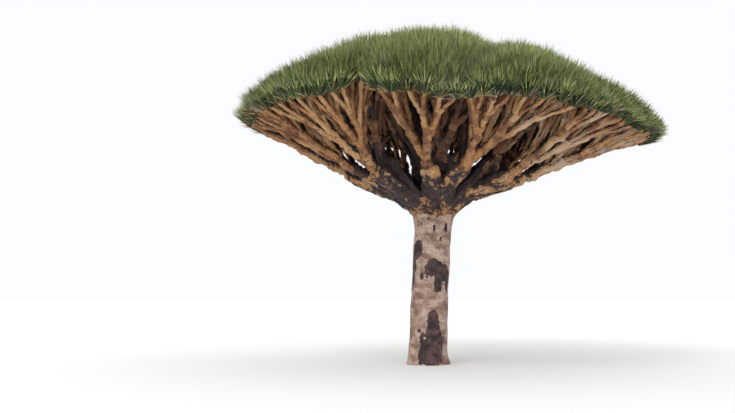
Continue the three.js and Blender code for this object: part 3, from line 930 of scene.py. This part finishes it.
def wound_at(radius, azimuth, height):
    """How deep in a wound a place on the trunk is, from 0 to 1, and how far it is sunk there."""
    place = Vector((math.cos(azimuth) * 1.4, math.sin(azimuth) * 1.4, height * 4))
    stray = RAGGED * layered(place, WOUND_RAGS)
    most, sunk = smoothstep(*COLLAR_EDGE, height - COLLAR + COLLAR_RAGGED * stray), 0
    for wound in WOUNDS:
        turn = azimuth - math.radians(wound.azimuth)
        turn = math.atan2(math.sin(turn), math.cos(turn))
        off = math.hypot(turn * radius / (wound.width / 2), (height - wound.height) / (wound.tall / 2))
        mask = 1 - smoothstep(*WOUND_EDGE, off + stray)
        if mask > most:
            most, sunk = mask, mask * wound.depth
    return most, sunk


def trunk_relief(azimuth, height):
    """Height of the bark's lumps, rings and grain over the even trunk."""
    place = Vector((math.cos(azimuth) * 0.34, math.sin(azimuth) * 0.34, height))
    bands = TRUNK_BAND * noise.noise(Vector((place.x * 3, place.y * 3, height * 34)))
    grain = TRUNK_GRAIN * noise.noise(place * 60.0)
    return layered(place, TRUNK_LUMPS) + bands + grain


def trunk_profile(trunk):
    """Places from the middle of the flat cut up to the middle of the rounded top."""
    rings = round(trunk.fork_height / trunk.ring_step)
    profile = [Vector((0, 0, 0)), Vector((trunk_radius(trunk, 0) * FOOT_RING, 0, 0))]
    for i in range(rings + 1):
        height = trunk.fork_height * i / rings
        profile.append(Vector((trunk_radius(trunk, height), 0, height)))
    for i in range(1, HEAD_RINGS + 1):
        turn = math.pi / 2 * i / HEAD_RINGS
        out = math.cos(turn) * trunk.head_radius if i < HEAD_RINGS else 0
        profile.append(Vector((out, 0, trunk.fork_height + math.sin(turn) * trunk.crown_rise)))
    return profile


def shape_trunk(tree):
    """The trunk's profile, spun round, leaned, ribbed at the root and roughened."""
    trunk = tree.trunk
    bm = bmesh.new()
    verts = [bm.verts.new(place) for place in trunk_profile(trunk)]
    geom = verts + [bm.edges.new(pair) for pair in zip(verts, verts[1:])]
    steps = round(2 * math.pi * trunk.radius / trunk.ring_step)
    bmesh.ops.spin(
        bm, geom=geom, cent=(0, 0, 0), axis=(0, 0, 1), angle=2 * math.pi, steps=steps, use_merge=True
    )
    bmesh.ops.remove_doubles(bm, verts=bm.verts, dist=1e-5)
    wound_layer = bm.verts.layers.float.new("wound")
    for vert in bm.verts:
        height = vert.co.z
        out = math.hypot(vert.co.x, vert.co.y)
        azimuth = math.atan2(vert.co.y, vert.co.x)
        rib = trunk.ridge_depth * math.cos(trunk.root_ridges * azimuth)
        rib *= math.exp(-height / trunk.flare_height)
        mask, sunk = wound_at(trunk.radius, azimuth, height)
        rough = trunk_relief(azimuth, height) - sunk
        rough += mask * WOUND_GRAIN * noise.noise(Vector((azimuth * 6, height * 14, 3)))
        outer = min(out / trunk.radius, 1)
        stretch = (out + (rib + rough) * outer) / out if out > 1e-4 else 1
        vert[wound_layer] = mask
        vert.co.x = vert.co.x * stretch + lean_at(trunk, height)
        vert.co.y = vert.co.y * stretch
    return bm


# Limbs and boughs


class Detail(NamedTuple):
    """Corners round a limb, the distance between its rings, and how many fused arms make it up."""

    sides: int
    step: float
    arms: int


LIMB_DETAIL = Detail(64, 0.02, 7)
BOUGH_DETAIL = Detail(40, 0.022, 5)
BOUGH_SALT = 20  # the boughs are roughened with other numbers than the limbs
BOUGH_WIDTHS = {"top": 1.9, "mid": 2.5, "rim": 1.5}  # how much wider than high a bough is
FOLD = 0.34  # depth of the seams between fused arms, as a share of a limb's radius
FOLD_MEAN = 0.75  # a place this far out of the seams keeps the even girth
SEAM_EDGE = (0.2, 0.7)  # how far out of a seam its painted shade ends
ARM_KNOBS = 0.15  # as shares of the radius
ARM_FOLDS = 0.1
ARM_GRAIN = 0.0035
LEAST_RINGS = 6  # fewest rings along a limb
END_RINGS = 4  # and round its end
END_OPEN = 0.35  # width of the flat that closes a limb's rounded end, in rings
END_LENGTH = 0.8  # length of that end, as a share of the radius


def limb_relief(place, radius):
    """Knobs and grain of an arm's bark, as a height over its even girth."""
    knobs = ARM_KNOBS * radius * noise.noise(place * 5.5)
    folds = ARM_FOLDS * radius * noise.noise(place * 14.0)
    return knobs + folds + ARM_GRAIN * noise.noise(place * 42.0)


def fused_arms(turn, distance, arms, salt):
    """How far out of the seams between the arms that make up a limb a place is, from 0 to 1."""
    sway = 1.3 * noise.noise(Vector((distance * 1.7, salt * 2.3, 0)))
    return math.sqrt(abs(math.sin(arms * turn / 2 + sway)))


def limb_stations(root, tip, rings):
    """Each ring's way along the curve, its radius, and how far past the curve's end it lies."""
    stations = [(i / rings, lerp(root, tip, i / rings), 0) for i in range(rings + 1)]
    for i in range(1, END_RINGS + 1):
        turn = math.pi / 2 * i / (END_RINGS + END_OPEN)
        stations.append((1, tip * math.cos(turn), tip * math.sin(turn) * END_LENGTH))
    return stations


def shape_limb(bend, root, tip, detail, wide, salt):
    """A circle carried along a curve ring by ring, parted into fused arms, with a rounded end. Its
    arms lie side by side, so that it is wider than high."""
    bm = bmesh.new()
    names = ("seam", "upper", "turn", "distance")
    seam_layer, upper_layer, turn_layer, along_layer = [bm.verts.layers.float.new(name) for name in names]
    span = (bend.tip - bend.root).length
    shift = Vector((salt * 3.7, salt * 1.9, salt * 0.7))
    side = bend.heading(1).cross(UP).normalized()
    ring = bmesh.ops.create_circle(bm, cap_ends=True, segments=detail.sides, radius=1)["verts"]
    face = bm.faces[:][0]
    for i, vert in enumerate(ring):
        vert[turn_layer] = 2 * math.pi * i / detail.sides
    stations = limb_stations(root, tip, max(LEAST_RINGS, round(span / detail.step)))
    for i, (t, radius, ahead) in enumerate(stations):
        if i:
            grown = bmesh.ops.extrude_face_region(bm, geom=[face])["geom"]
            ring = [part for part in grown if isinstance(part, bmesh.types.BMVert)]
            face = next(part for part in grown if isinstance(part, bmesh.types.BMFace))
        heading = bend.heading(t)
        side = (side - heading * side.dot(heading)).normalized()
        across = heading.cross(side)
        centre = bend.at(t) + heading * ahead
        top = (UP - heading * heading.z).normalized()
        for vert in ring:
            turn = vert[turn_layer]
            out = side * math.cos(turn) + across * math.sin(turn)
            even = centre + out * radius + side * (math.cos(turn) * radius * (wide - 1))
            ridge = fused_arms(turn, t * span, detail.arms, salt)
            fold = FOLD * radius * (ridge - FOLD_MEAN)
            vert.co = even + out * (limb_relief(even + shift, radius) + fold)
            vert[along_layer] = t * span + ahead
            # painted shade darkens the seams between fused arms
            vert[seam_layer] = 1 - smoothstep(*SEAM_EDGE, ridge)
            vert[upper_layer] = out.dot(top)
    map_limb(bm, turn_layer, along_layer)
    return bm


def map_limb(bm, turn_layer, along_layer):
    """A map with the turn round an arm across it, and the distance along the arm up it."""
    layer = bm.loops.layers.uv.new("along")
    for face in bm.faces:
        for loop in face.loops:
            turn = loop.vert[turn_layer] / (2 * math.pi)
            loop[layer].uv = (round_map(turn), loop.vert[along_layer])


# Twigs

TWIG_SIDES = 8
TWIG_STEP = 0.055  # distance between a twig's rings
TWIG_RINGS = (3, 22)  # fewest and most rings
TWIG_SINK = 0.6  # a twig starts this many radii inside the fork
TWIG_PULL = 0.9  # how firmly it keeps its first and last headings
TWIG_ENDS = (0.45, 0.8)  # how far past its end the last two rings lie, in radii
TWIG_END_GIRTHS = (0.86, 0.42)
WAIST = 0.12  # how much thinner it is halfway
BEAD = 0.23  # distance between its swellings
BEAD_SIZE = 0.07
TWIG_SWAY = 0.22  # how far it strays from its line, in radii
TWIG_KNOBS = 0.12  # height of its knobs, in radii
TWIG_GRAIN = 0.13
RIPPLE_WAVES = 5


def unit(rows):
    return rows / np.linalg.norm(rows, axis=1)[:, None]


def turned(first, second, turn):
    """Ways that are turned from one direction towards another."""
    return first * np.cos(turn)[:, None] + second * np.sin(turn)[:, None]


def ripple(places, wavelength, salt):
    """Smooth seeded unevenness, from about -1 to 1, at many places at once."""
    draws = np.random.default_rng(SEED + salt)
    total = np.zeros(len(places))
    for _ in range(RIPPLE_WAVES):
        way = draws.normal(size=3)
        way *= 2 * math.pi / (wavelength * np.linalg.norm(way)) * draws.uniform(0.7, 1.4)
        total += np.sin(places @ way + draws.uniform(0, 2 * math.pi))
    return total / math.sqrt(RIPPLE_WAVES)


def round_map(turn):
    """A share of a turn as a share that rises halfway round and falls again, so that it has no seam."""
    return 1 - np.abs(2 * turn - 1)


def twig_tube(branch):
    """Centres and radii of one twig's rings, with a rounded end."""
    start = np.array(branch.start - branch.heading * (branch.radius * TWIG_SINK))
    end = np.array(branch.end)
    span = np.linalg.norm(end - start)
    t = np.linspace(0, 1, int(np.clip(round(span / TWIG_STEP), *TWIG_RINGS)) + 1)[:, None]
    last_heading = np.array(branch.end_heading)
    centres = (
        (2 * t**3 - 3 * t**2 + 1) * start
        + (t**3 - 2 * t**2 + t) * (np.array(branch.heading) * (span * TWIG_PULL))
        + (3 * t**2 - 2 * t**3) * end
        + (t**3 - t**2) * (last_heading * (span * TWIG_PULL))
    )
    waist = 1 - WAIST * np.sin(math.pi * t[:, 0])
    beads = 1 + BEAD_SIZE * np.sin(t[:, 0] * (span * 2 * math.pi / BEAD) + branch.start.x * 40)
    radii = lerp(branch.radius, branch.end_radius, t[:, 0]) * waist * beads
    centres = np.vstack([centres, end + np.outer(TWIG_ENDS, last_heading) * branch.end_radius])
    radii = np.concatenate([radii, branch.end_radius * np.array(TWIG_END_GIRTHS)])
    return centres, radii


def twig_skin(twig):
    """For each corner of one twig: its place, its ring's centre and girth, its map and its upper side."""
    turns = np.linspace(0, 2 * math.pi, TWIG_SIDES, endpoint=False)
    spokes = np.stack([np.cos(turns), np.sin(turns)], 1)
    centres, radii = twig_tube(twig)
    ways = unit(np.gradient(centres, axis=0))
    side = np.array(twig.heading.orthogonal().normalized())
    sides = unit(side - ways * (ways @ side)[:, None])
    across = np.cross(ways, sides)
    out = spokes[None, :, 0:1] * sides[:, None] + spokes[None, :, 1:2] * across[:, None]
    tops = unit(np.array(UP) - ways * ways[:, 2:3])
    places = (centres[:, None] + out * radii[:, None, None]).reshape(-1, 3)
    distance = np.concatenate([[0], np.cumsum(np.linalg.norm(np.diff(centres, axis=0), axis=1))])
    turn_map = np.tile(round_map(np.arange(TWIG_SIDES) / TWIG_SIDES), len(centres))
    return (
        places,
        np.repeat(centres, TWIG_SIDES, 0),
        np.repeat(radii, TWIG_SIDES),
        np.stack([turn_map, np.repeat(distance, TWIG_SIDES)], 1),
        (out * tops[:, None]).sum(2).ravel(),
    )


def twig_faces(base, rings):
    """The quads between one twig's rings, and the face that closes its end."""
    k = np.arange(TWIG_SIDES)
    rows = base + np.arange(rings - 1)[:, None] * TWIG_SIDES
    quad = np.stack([rows + k, rows + (k + 1) % TWIG_SIDES], 2)
    quads = np.concatenate([quad, quad[:, :, ::-1] + TWIG_SIDES], 2).reshape(-1, 4)
    return quads, (base + (rings - 1) * TWIG_SIDES + k)[None]


def twig_mesh(twigs):
    """Places, faces, map and upper sides of many twigs joined."""
    skins = [twig_skin(twig) for twig in twigs]
    places, hubs, girths, maps, uppers = (np.concatenate(part) for part in zip(*skins))
    bases = np.cumsum([0] + [len(skin[0]) for skin in skins])
    faces = [twig_faces(base, len(skin[0]) // TWIG_SIDES) for base, skin in zip(bases, skins)]
    quads, ends = (np.vstack(part) for part in zip(*faces))
    sway = np.stack([ripple(hubs, 0.34, salt) for salt in (1, 2, 3)], 1) * girths[:, None] * TWIG_SWAY
    knobs = ripple(places, 0.2, 4) * TWIG_KNOBS + ripple(places, 0.09, 5) * TWIG_GRAIN
    places = hubs + sway + (places - hubs) * (1 + knobs[:, None])
    return places, [quads, ends], maps, uppers


# Leaves

LEAF_ROWS = ((0.0, 1.0), (0.56, 0.82), (1.0, 0.0))  # ways along a leaf, and its girth there
LEAF_CORNERS = 7  # corners of one leaf's mesh
EDGE_LIFT = 0.22  # a leaf's edges stand this much up, as a share of its width
KEEL_LIFT = -0.1
SPRAY = 9  # leaves that share a tint
DRY_SPRAY = 3  # and dry leaves that do
GOLDEN_TURN = math.pi * (3 - math.sqrt(5))
LEAF_TINTS = {
    # name: blade, darkened by painted shade at the leaf's base, then tip and share of the sprays
    "deep": ("1e2814", "46542f", 0.25),
    "mid": ("2c3a1d", "64723f", 0.26),
    "olive": ("3f4827", "81874f", 0.17),
    "fresh": ("4b5a30", "979f62", 0.16),
    "yellow": ("5d663b", "adb176", 0.07),
    "grey": ("454c38", "82886a", 0.09),
}
LIT_SHARE = 0.7  # painted light: share of the darker sprays that are lighter high on the dome
LIT_TINTS = 2  # and by how many tints
LIT_RANGE = (0.6, 0.9)  # ways down the dome between which that share falls to nothing
WORN_RANGE = (0.3, 1.4)  # a leaf is grey where the seam is stronger than a draw from this range
WORN_SHORT = 0.3  # how much shorter the leaves in the seams are
DRY_TINTS = {
    "straw": ("a08a5c", "b5a076", 0.5),
    "brown": ("7c5a3a", "96724c", 0.3),
    "ashen": ("8b857a", "a8a296", 0.2),
}
TURN_STRAY = 0.12  # seeded change of a leaf's turn, its lean and its twist
LEAN_STRAY = 0.07
TWIST_STRAY = 0.35
RIM_SHELF = 0.6  # how much higher the lowest slope is at the rim
LOW_SHELF = 0.7  # and how much of that is lost on the low side
SHELF_POWER = 8
SHELF_HOLD = 0.9  # share of what a leaf would hang lower that it keeps up
SIZE_POWER = 5  # how late the leaves shrink towards the rim
LOW_SHORT = 0.5  # how much more they shrink on the low side
SIZE_GAIN = 0.8  # a rosette is larger than the mean by less than it may be smaller
CUSHION_RISE = 0.05  # height of the cushion, and how far its outer leaves droop
OUTER_BOW = 0.1  # how far those bow outwards
NO_WAY = (0.31, 0.77, 0.11)  # a direction that no rosette has
WIDTH_RANGE = (0.8, 1.15)  # seeded change of a leaf's width
DRY_FROM = 0.8  # way down the dome from which on rosettes have dry leaves
DRY_TURN = 1.9  # these turn away from straight outwards by at most this
DRY_LEAN = (0.7, 1.5)
DRY_SAG = (0, 0, -0.2)
DRY_SAG_RANGE = (0.3, 1.3)
DRY_LENGTHS = (0.3, 0.6)  # as shares of a live leaf's
DRY_WIDTHS = (0.4, 0.8)


class Fan(NamedTuple):
    """Many leaves at once: where each starts, where it heads, its upper side, its size and its tint."""

    bases: np.ndarray
    ways: np.ndarray
    faces: np.ndarray
    droop: np.ndarray
    lengths: np.ndarray
    widths: np.ndarray
    tints: np.ndarray


def leaf_mesh(fan, picked):
    """Blades with a keel: three corners across at the base and the middle, one at the tip."""
    bases, ways, faces, droop = (part[picked] for part in fan[:4])
    lengths = fan.lengths[picked][:, None]
    widths = fan.widths[picked][:, None]
    across = unit(np.cross(ways, faces))
    upper = np.cross(across, ways)
    corners, maps = [], []
    for row, girth in LEAF_ROWS:
        spine = bases + ways * (lengths * row) + droop * (lengths * row**2)
        for side in (-0.5, 0, 0.5) if girth else (0,):
            lift = upper * widths * girth * (EDGE_LIFT if side else KEEL_LIFT)
            corners.append(spine + across * widths * girth * side + lift)
            maps.append(np.tile([0.5 + side, row], (len(bases), 1)))
    places = np.stack(corners, 1).reshape(-1, 3)
    maps = np.stack(maps, 1).reshape(-1, 2)
    start = np.arange(len(bases))[:, None] * LEAF_CORNERS
    quads = np.concatenate([start + [0, 1, 4, 3], start + [1, 2, 5, 4]])
    tips = np.concatenate([start + [3, 4, 6], start + [4, 5, 6]])
    looks = np.concatenate([np.zeros(len(quads)), np.ones(len(tips))])
    return places, [quads, tips], maps, looks


def per_leaf(values, count):
    """The values of rosettes, each repeated for its leaves."""
    return np.repeat(np.array(list(values)), count, 0)


def per_spray(values, count, spray):
    return np.repeat(values, spray)[:count]


def deal_tints(draws, count, tints, spray):
    """One tint for each spray of leaves."""
    shares = np.array([part[2] for part in tints.values()])
    sprays = draws.choice(len(tints), size=-(-count // spray), p=shares / shares.sum())
    return per_spray(sprays, count, spray)


def green_tints(draws, down, seams):
    """Tints of the live leaves, lighter high on the dome as painted light, and grey in the worn seams."""
    many = len(down)
    names = list(LEAF_TINTS)
    tints = deal_tints(draws, many, LEAF_TINTS, SPRAY)
    height = np.clip((LIT_RANGE[1] - down) / (LIT_RANGE[1] - LIT_RANGE[0]), 0, 1)
    lit = per_spray(draws.uniform(0, 1, -(-many // SPRAY)), many, SPRAY) < LIT_SHARE * height
    tints[lit & (tints < names.index("fresh"))] += LIT_TINTS
    tints[seams > draws.uniform(*WORN_RANGE, many)] = names.index("grey")
    return tints


def green_fan(tree, rosettes):
    """The live leaves of all rosettes, which lean more the further out they stand."""
    leaf = tree.leaf
    draws = np.random.default_rng(SEED)
    count = leaf.count
    many = len(rosettes) * count
    roots = per_leaf((r.root for r in rosettes), count)
    axes = per_leaf((r.axis for r in rosettes), count)
    down = per_leaf((r.down for r in rosettes), count)
    low_side = per_leaf((side_of(tree, r.azimuth) for r in rosettes), count)
    seams = per_leaf((seam_at(r.root) for r in rosettes), count)
    place = np.tile((np.arange(count) + 0.5) / count, len(rosettes))
    start = np.repeat(draws.uniform(0, 2 * math.pi, len(rosettes)), count)
    turn = start + np.tile(np.arange(count) * GOLDEN_TURN, len(rosettes))
    turn += draws.normal(0, TURN_STRAY, many)
    lean = leaf.lean * np.sqrt(place) + draws.normal(0, LEAN_STRAY, many)
    side = unit(np.cross(axes, np.tile(NO_WAY, (many, 1))))
    radial = turned(side, np.cross(axes, side), turn)
    ways = turned(axes, radial, lean)
    shelf = leaf.shelf + RIM_SHELF * (1 - LOW_SHELF * low_side) * down**SHELF_POWER
    ways[:, 2] -= SHELF_HOLD * np.minimum(ways[:, 2] - shelf, 0)
    ways = unit(ways)
    seat = radial * (leaf.cushion * np.sqrt(place))[:, None]
    bases = roots + seat - axes * (CUSHION_RISE * place)[:, None]
    twist = draws.normal(0, TWIST_STRAY, many)
    upper = unit(turned(-radial, axes, lean))
    faces = turned(upper, np.cross(ways, upper), twist)
    droop = radial * (OUTER_BOW * place)[:, None] - np.array([0, 0, CUSHION_RISE]) * place[:, None]
    size = np.repeat(draws.uniform(1 - leaf.spread, 1 + leaf.spread * SIZE_GAIN, len(rosettes)), count)
    lengths = leaf.size * size * draws.uniform(1 - leaf.spread, 1 + leaf.spread, many)
    lengths *= 1 - (1 - leaf.rim_size) * (1 + LOW_SHORT * low_side) * down**SIZE_POWER
    lengths *= 1 - WORN_SHORT * seams
    widths = leaf.width * draws.uniform(*WIDTH_RANGE, many)
    return Fan(bases, ways, faces, droop, lengths, widths, green_tints(draws, down, seams))


def dry_fan(tree, rosettes):
    """Dry leaves that hang from under the rosettes at the rim."""
    leaf = tree.leaf
    draws = np.random.default_rng(SEED + 1)
    low = [r for r in rosettes if r.down > DRY_FROM]
    many = len(low) * leaf.dry_count
    roots = per_leaf((r.root for r in low), leaf.dry_count)
    axes = per_leaf((r.axis for r in low), leaf.dry_count)
    outward = per_leaf((r.outward for r in low), leaf.dry_count)
    turn = draws.uniform(-DRY_TURN, DRY_TURN, many)
    radial = unit(turned(outward, np.cross(axes, outward), turn))
    ways = turned(axes, radial, draws.uniform(*DRY_LEAN, many))
    bases = roots + radial * leaf.cushion * 0.8 - axes * CUSHION_RISE
    faces = unit(axes + draws.normal(0, 0.4, (many, 3)))
    droop = np.tile(DRY_SAG, (many, 1)) * draws.uniform(*DRY_SAG_RANGE, many)[:, None]
    lengths = leaf.size * draws.uniform(*DRY_LENGTHS, many)
    widths = leaf.width * draws.uniform(*DRY_WIDTHS, many)
    tints = deal_tints(draws, many, DRY_TINTS, DRY_SPRAY)
    return Fan(bases, ways, faces, droop, lengths, widths, tints)


# Operators

CROWN_NODES = sorted(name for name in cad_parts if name.startswith("crown_"))
TWIG_LOOKS = {
    # shade: its two colours, how much of it is dark, partly as painted shade, and how much peels
    "orange": ("orange", "rust", -0.04, 0.0),
    "ochre": ("ochre", "orange", -0.05, 0.05),
    "brown": ("brown", "rust", 0.0, 0.02),
    "umber": ("umber", "rust", 0.16, 0.0),
    "charred": ("umber", "dark", 0.26, -0.05),
}
LIGHTS = [
    # name, strength, then softness and turn in degrees
    ("key_light", 0.9, 30, (48, 0, -30)),
    ("front_light", 1.2, 60, (84, 0, 8)),
]
SKY = (0.96, 0.98, 1.0, 1)


class MESH_OT_dragon_trunk(Operator):
    """Add the trunk, with its lean, root ribs, wounds and ringed bark"""

    bl_idname = "mesh.dragon_trunk"
    bl_label = "Add Trunk"

    def execute(self, context):
        tree = context.scene.dragon_tree
        bm = shape_trunk(tree)
        piece_from_bmesh("trunk_bark", bm, trunk_material(tree.trunk), ["trunk"])
        return {"FINISHED"}


class MESH_OT_dragon_limbs(Operator):
    """Add the limbs that part at the head, and the boughs that they part into"""

    bl_idname = "mesh.dragon_limbs"
    bl_label = "Add Limbs and Boughs"

    def execute(self, context):
        tree = context.scene.dragon_tree
        bark = tree.bark
        limbs = limb_bends(tree)
        head = head_of(tree)
        near = arm_material("limb_bark", bark, bark.orange, bark.brown, head, 0.0, 0.0)
        for i, (name, bend, root, tip) in enumerate(limbs):
            wide = 1 if name == "limb_centre" else tree.limb.wide
            bm = shape_limb(bend, root, tip, LIMB_DETAIL, wide, i)
            piece_from_bmesh(f"{name}_bark", bm, near, [name])
        outer = arm_material("bough_bark", bark, bark.orange, bark.ochre, head, 0.0, 0.02)
        # the deeper boughs are darker, partly as painted shade
        inner = arm_material("inner_bough_bark", bark, bark.brown, bark.umber, head, 0.2, 0.0)
        for i, mass in enumerate(masses_of(tree)):
            ring = mass.ring.name
            bend = bough_bend(tree, mass, limbs[mass.limb][1])
            tip = branch_radius(tree.fork, patch_area(tree, mass.patch))
            root = tip * tree.limb.bough_taper
            bm = shape_limb(bend, root, tip, BOUGH_DETAIL, BOUGH_WIDTHS[ring], BOUGH_SALT + i)
            look = outer if ring == "rim" else inner
            piece_from_bmesh(f"bough_{mass.name}_bark", bm, look, [f"bough_{mass.name}"])
        return {"FINISHED"}


class MESH_OT_dragon_twigs(Operator):
    """Add the forking twigs of the whole crown, joined by the shade of their bark"""

    bl_idname = "mesh.dragon_twigs"
    bl_label = "Add Twigs"

    def execute(self, context):
        tree = context.scene.dragon_tree
        bark = tree.bark
        branches, _ = grow_crown(tree)
        for shade, (first, second, dark_and_shade, peel) in TWIG_LOOKS.items():
            colours = (getattr(bark, first), getattr(bark, second))
            material = arm_material(f"twig_{shade}", bark, *colours, head_of(tree), dark_and_shade, peel)
            places, faces, maps, uppers = twig_mesh([b for b in branches if b.shade == shade])
            looks = np.zeros(sum(len(part) for part in faces))
            mesh = (places, faces, maps, looks, [material])
            piece_from_arrays(f"twigs_{shade}", *mesh, True, "limb_bark", CROWN_NODES, uppers)
        return {"FINISHED"}


class MESH_OT_dragon_leaves(Operator):
    """Add the rosettes' live leaves, joined by tint"""

    bl_idname = "mesh.dragon_leaves"
    bl_label = "Add Leaves"

    def execute(self, context):
        tree = context.scene.dragon_tree
        _, rosettes = grow_crown(tree)
        add_leaves("leaves", green_fan(tree, rosettes), LEAF_TINTS, 0.5)
        return {"FINISHED"}


class MESH_OT_dragon_dry_leaves(Operator):
    """Add the dry leaves under the rim's rosettes, joined by tint"""

    bl_idname = "mesh.dragon_dry_leaves"
    bl_label = "Add Dry Leaves"

    def execute(self, context):
        tree = context.scene.dragon_tree
        _, rosettes = grow_crown(tree)
        add_leaves("dry_leaves", dry_fan(tree, rosettes), DRY_TINTS, 0.8)
        return {"FINISHED"}


def add_leaves(kind, fan, tints, roughness):
    for i, (tint, (shaded_blade, tip, _)) in enumerate(tints.items()):
        name = f"{kind}_{tint}"
        # the blade colour holds painted shade at the leaf's base; the tip colour is the leaf's own lighter
        # tip
        materials = [
            leaf_material(f"{name}_blade", linear(shaded_blade), roughness),
            leaf_material(f"{name}_tip", linear(tip), roughness),
        ]
        mesh = leaf_mesh(fan, fan.tints == i)
        piece_from_arrays(name, *mesh, materials, False, "foliage", CROWN_NODES)


class SCENE_OT_dragon_stage(Operator):
    """Add a pale floor, soft light and the camera"""

    bl_idname = "scene.dragon_stage"
    bl_label = "Add Stage"

    def execute(self, context):
        scene = context.scene
        stage = scene.dragon_tree.stage
        add_floor(stage)
        add_camera(scene, stage)
        for light in LIGHTS:
            add_light(*light)
        world = scene.world or bpy.data.worlds.new("sky")
        scene.world = world
        world.use_nodes = True
        sky = world.node_tree.nodes["Background"]
        sky.inputs["Color"].default_value = SKY
        sky.inputs["Strength"].default_value = 1.0
        scene.view_settings.view_transform = "Standard"
        return {"FINISHED"}


def add_floor(stage):
    bm = bmesh.new()
    bmesh.ops.create_circle(bm, cap_ends=True, segments=96, radius=stage.floor)
    mesh = bpy.data.meshes.new("floor")
    bm.to_mesh(mesh)
    bm.free()
    material, _, surface = new_material("floor", 0.95)
    surface.inputs["Base Color"].default_value = (*stage.floor_shade, 1)
    mesh.materials.append(material)
    floor = bpy.data.objects.new("floor", mesh)
    bpy.context.scene.collection.objects.link(floor)


def add_camera(scene, stage):
    camera = bpy.data.objects.new("camera", bpy.data.cameras.new("camera"))
    camera.data.lens = stage.lens
    camera.data.sensor_width = 36
    camera.data.clip_end = 500
    camera.location = (0, -stage.distance, stage.eye)
    camera.rotation_euler = (math.radians(90) + stage.pitch, 0, stage.yaw)
    scene.collection.objects.link(camera)
    scene.camera = camera


def add_light(name, strength, softness, turn):
    lamp = bpy.data.lights.new(name, "SUN")
    lamp.energy = strength
    lamp.angle = math.radians(softness)
    light = bpy.data.objects.new(name, lamp)
    light.rotation_euler = [math.radians(part) for part in turn]
    bpy.context.scene.collection.objects.link(light)


class VIEW3D_PT_dragon_tree(Panel):
    """Sidebar panel with the tree's pieces and sizes"""

    bl_label = "Dragon Blood Tree"
    bl_idname = "VIEW3D_PT_dragon_tree"
    bl_space_type = "VIEW_3D"
    bl_region_type = "UI"
    bl_category = "Tree"

    def draw(self, context):
        tree = context.scene.dragon_tree
        for operator in PIECE_OPERATORS:
            self.layout.operator(operator.bl_idname)
        for part in ("trunk", "dome", "limb", "fork", "bark", "leaf", "stage"):
            box = self.layout.box()
            box.label(text=part.title())
            group = getattr(tree, part)
            for key in group.__annotations__:
                box.prop(group, key)


PIECE_OPERATORS = [
    MESH_OT_dragon_trunk,
    MESH_OT_dragon_limbs,
    MESH_OT_dragon_twigs,
    MESH_OT_dragon_leaves,
    MESH_OT_dragon_dry_leaves,
    SCENE_OT_dragon_stage,
]
CLASSES = [
    TrunkSettings,
    DomeSettings,
    LimbSettings,
    ForkSettings,
    BarkSettings,
    LeafSettings,
    StageSettings,
    TreeSettings,
    *PIECE_OPERATORS,
    VIEW3D_PT_dragon_tree,
]


def register():
    for part in CLASSES:
        bpy.utils.register_class(part)
    bpy.types.Scene.dragon_tree = PointerProperty(type=TreeSettings)


def unregister():
    del bpy.types.Scene.dragon_tree
    for part in reversed(CLASSES):
        bpy.utils.unregister_class(part)


def main():
    register()
    bpy.ops.mesh.dragon_trunk()
    bpy.ops.mesh.dragon_limbs()
    bpy.ops.mesh.dragon_twigs()
    bpy.ops.mesh.dragon_leaves()
    bpy.ops.mesh.dragon_dry_leaves()
    bpy.ops.scene.dragon_stage()


if __name__ == "__main__":
    main()
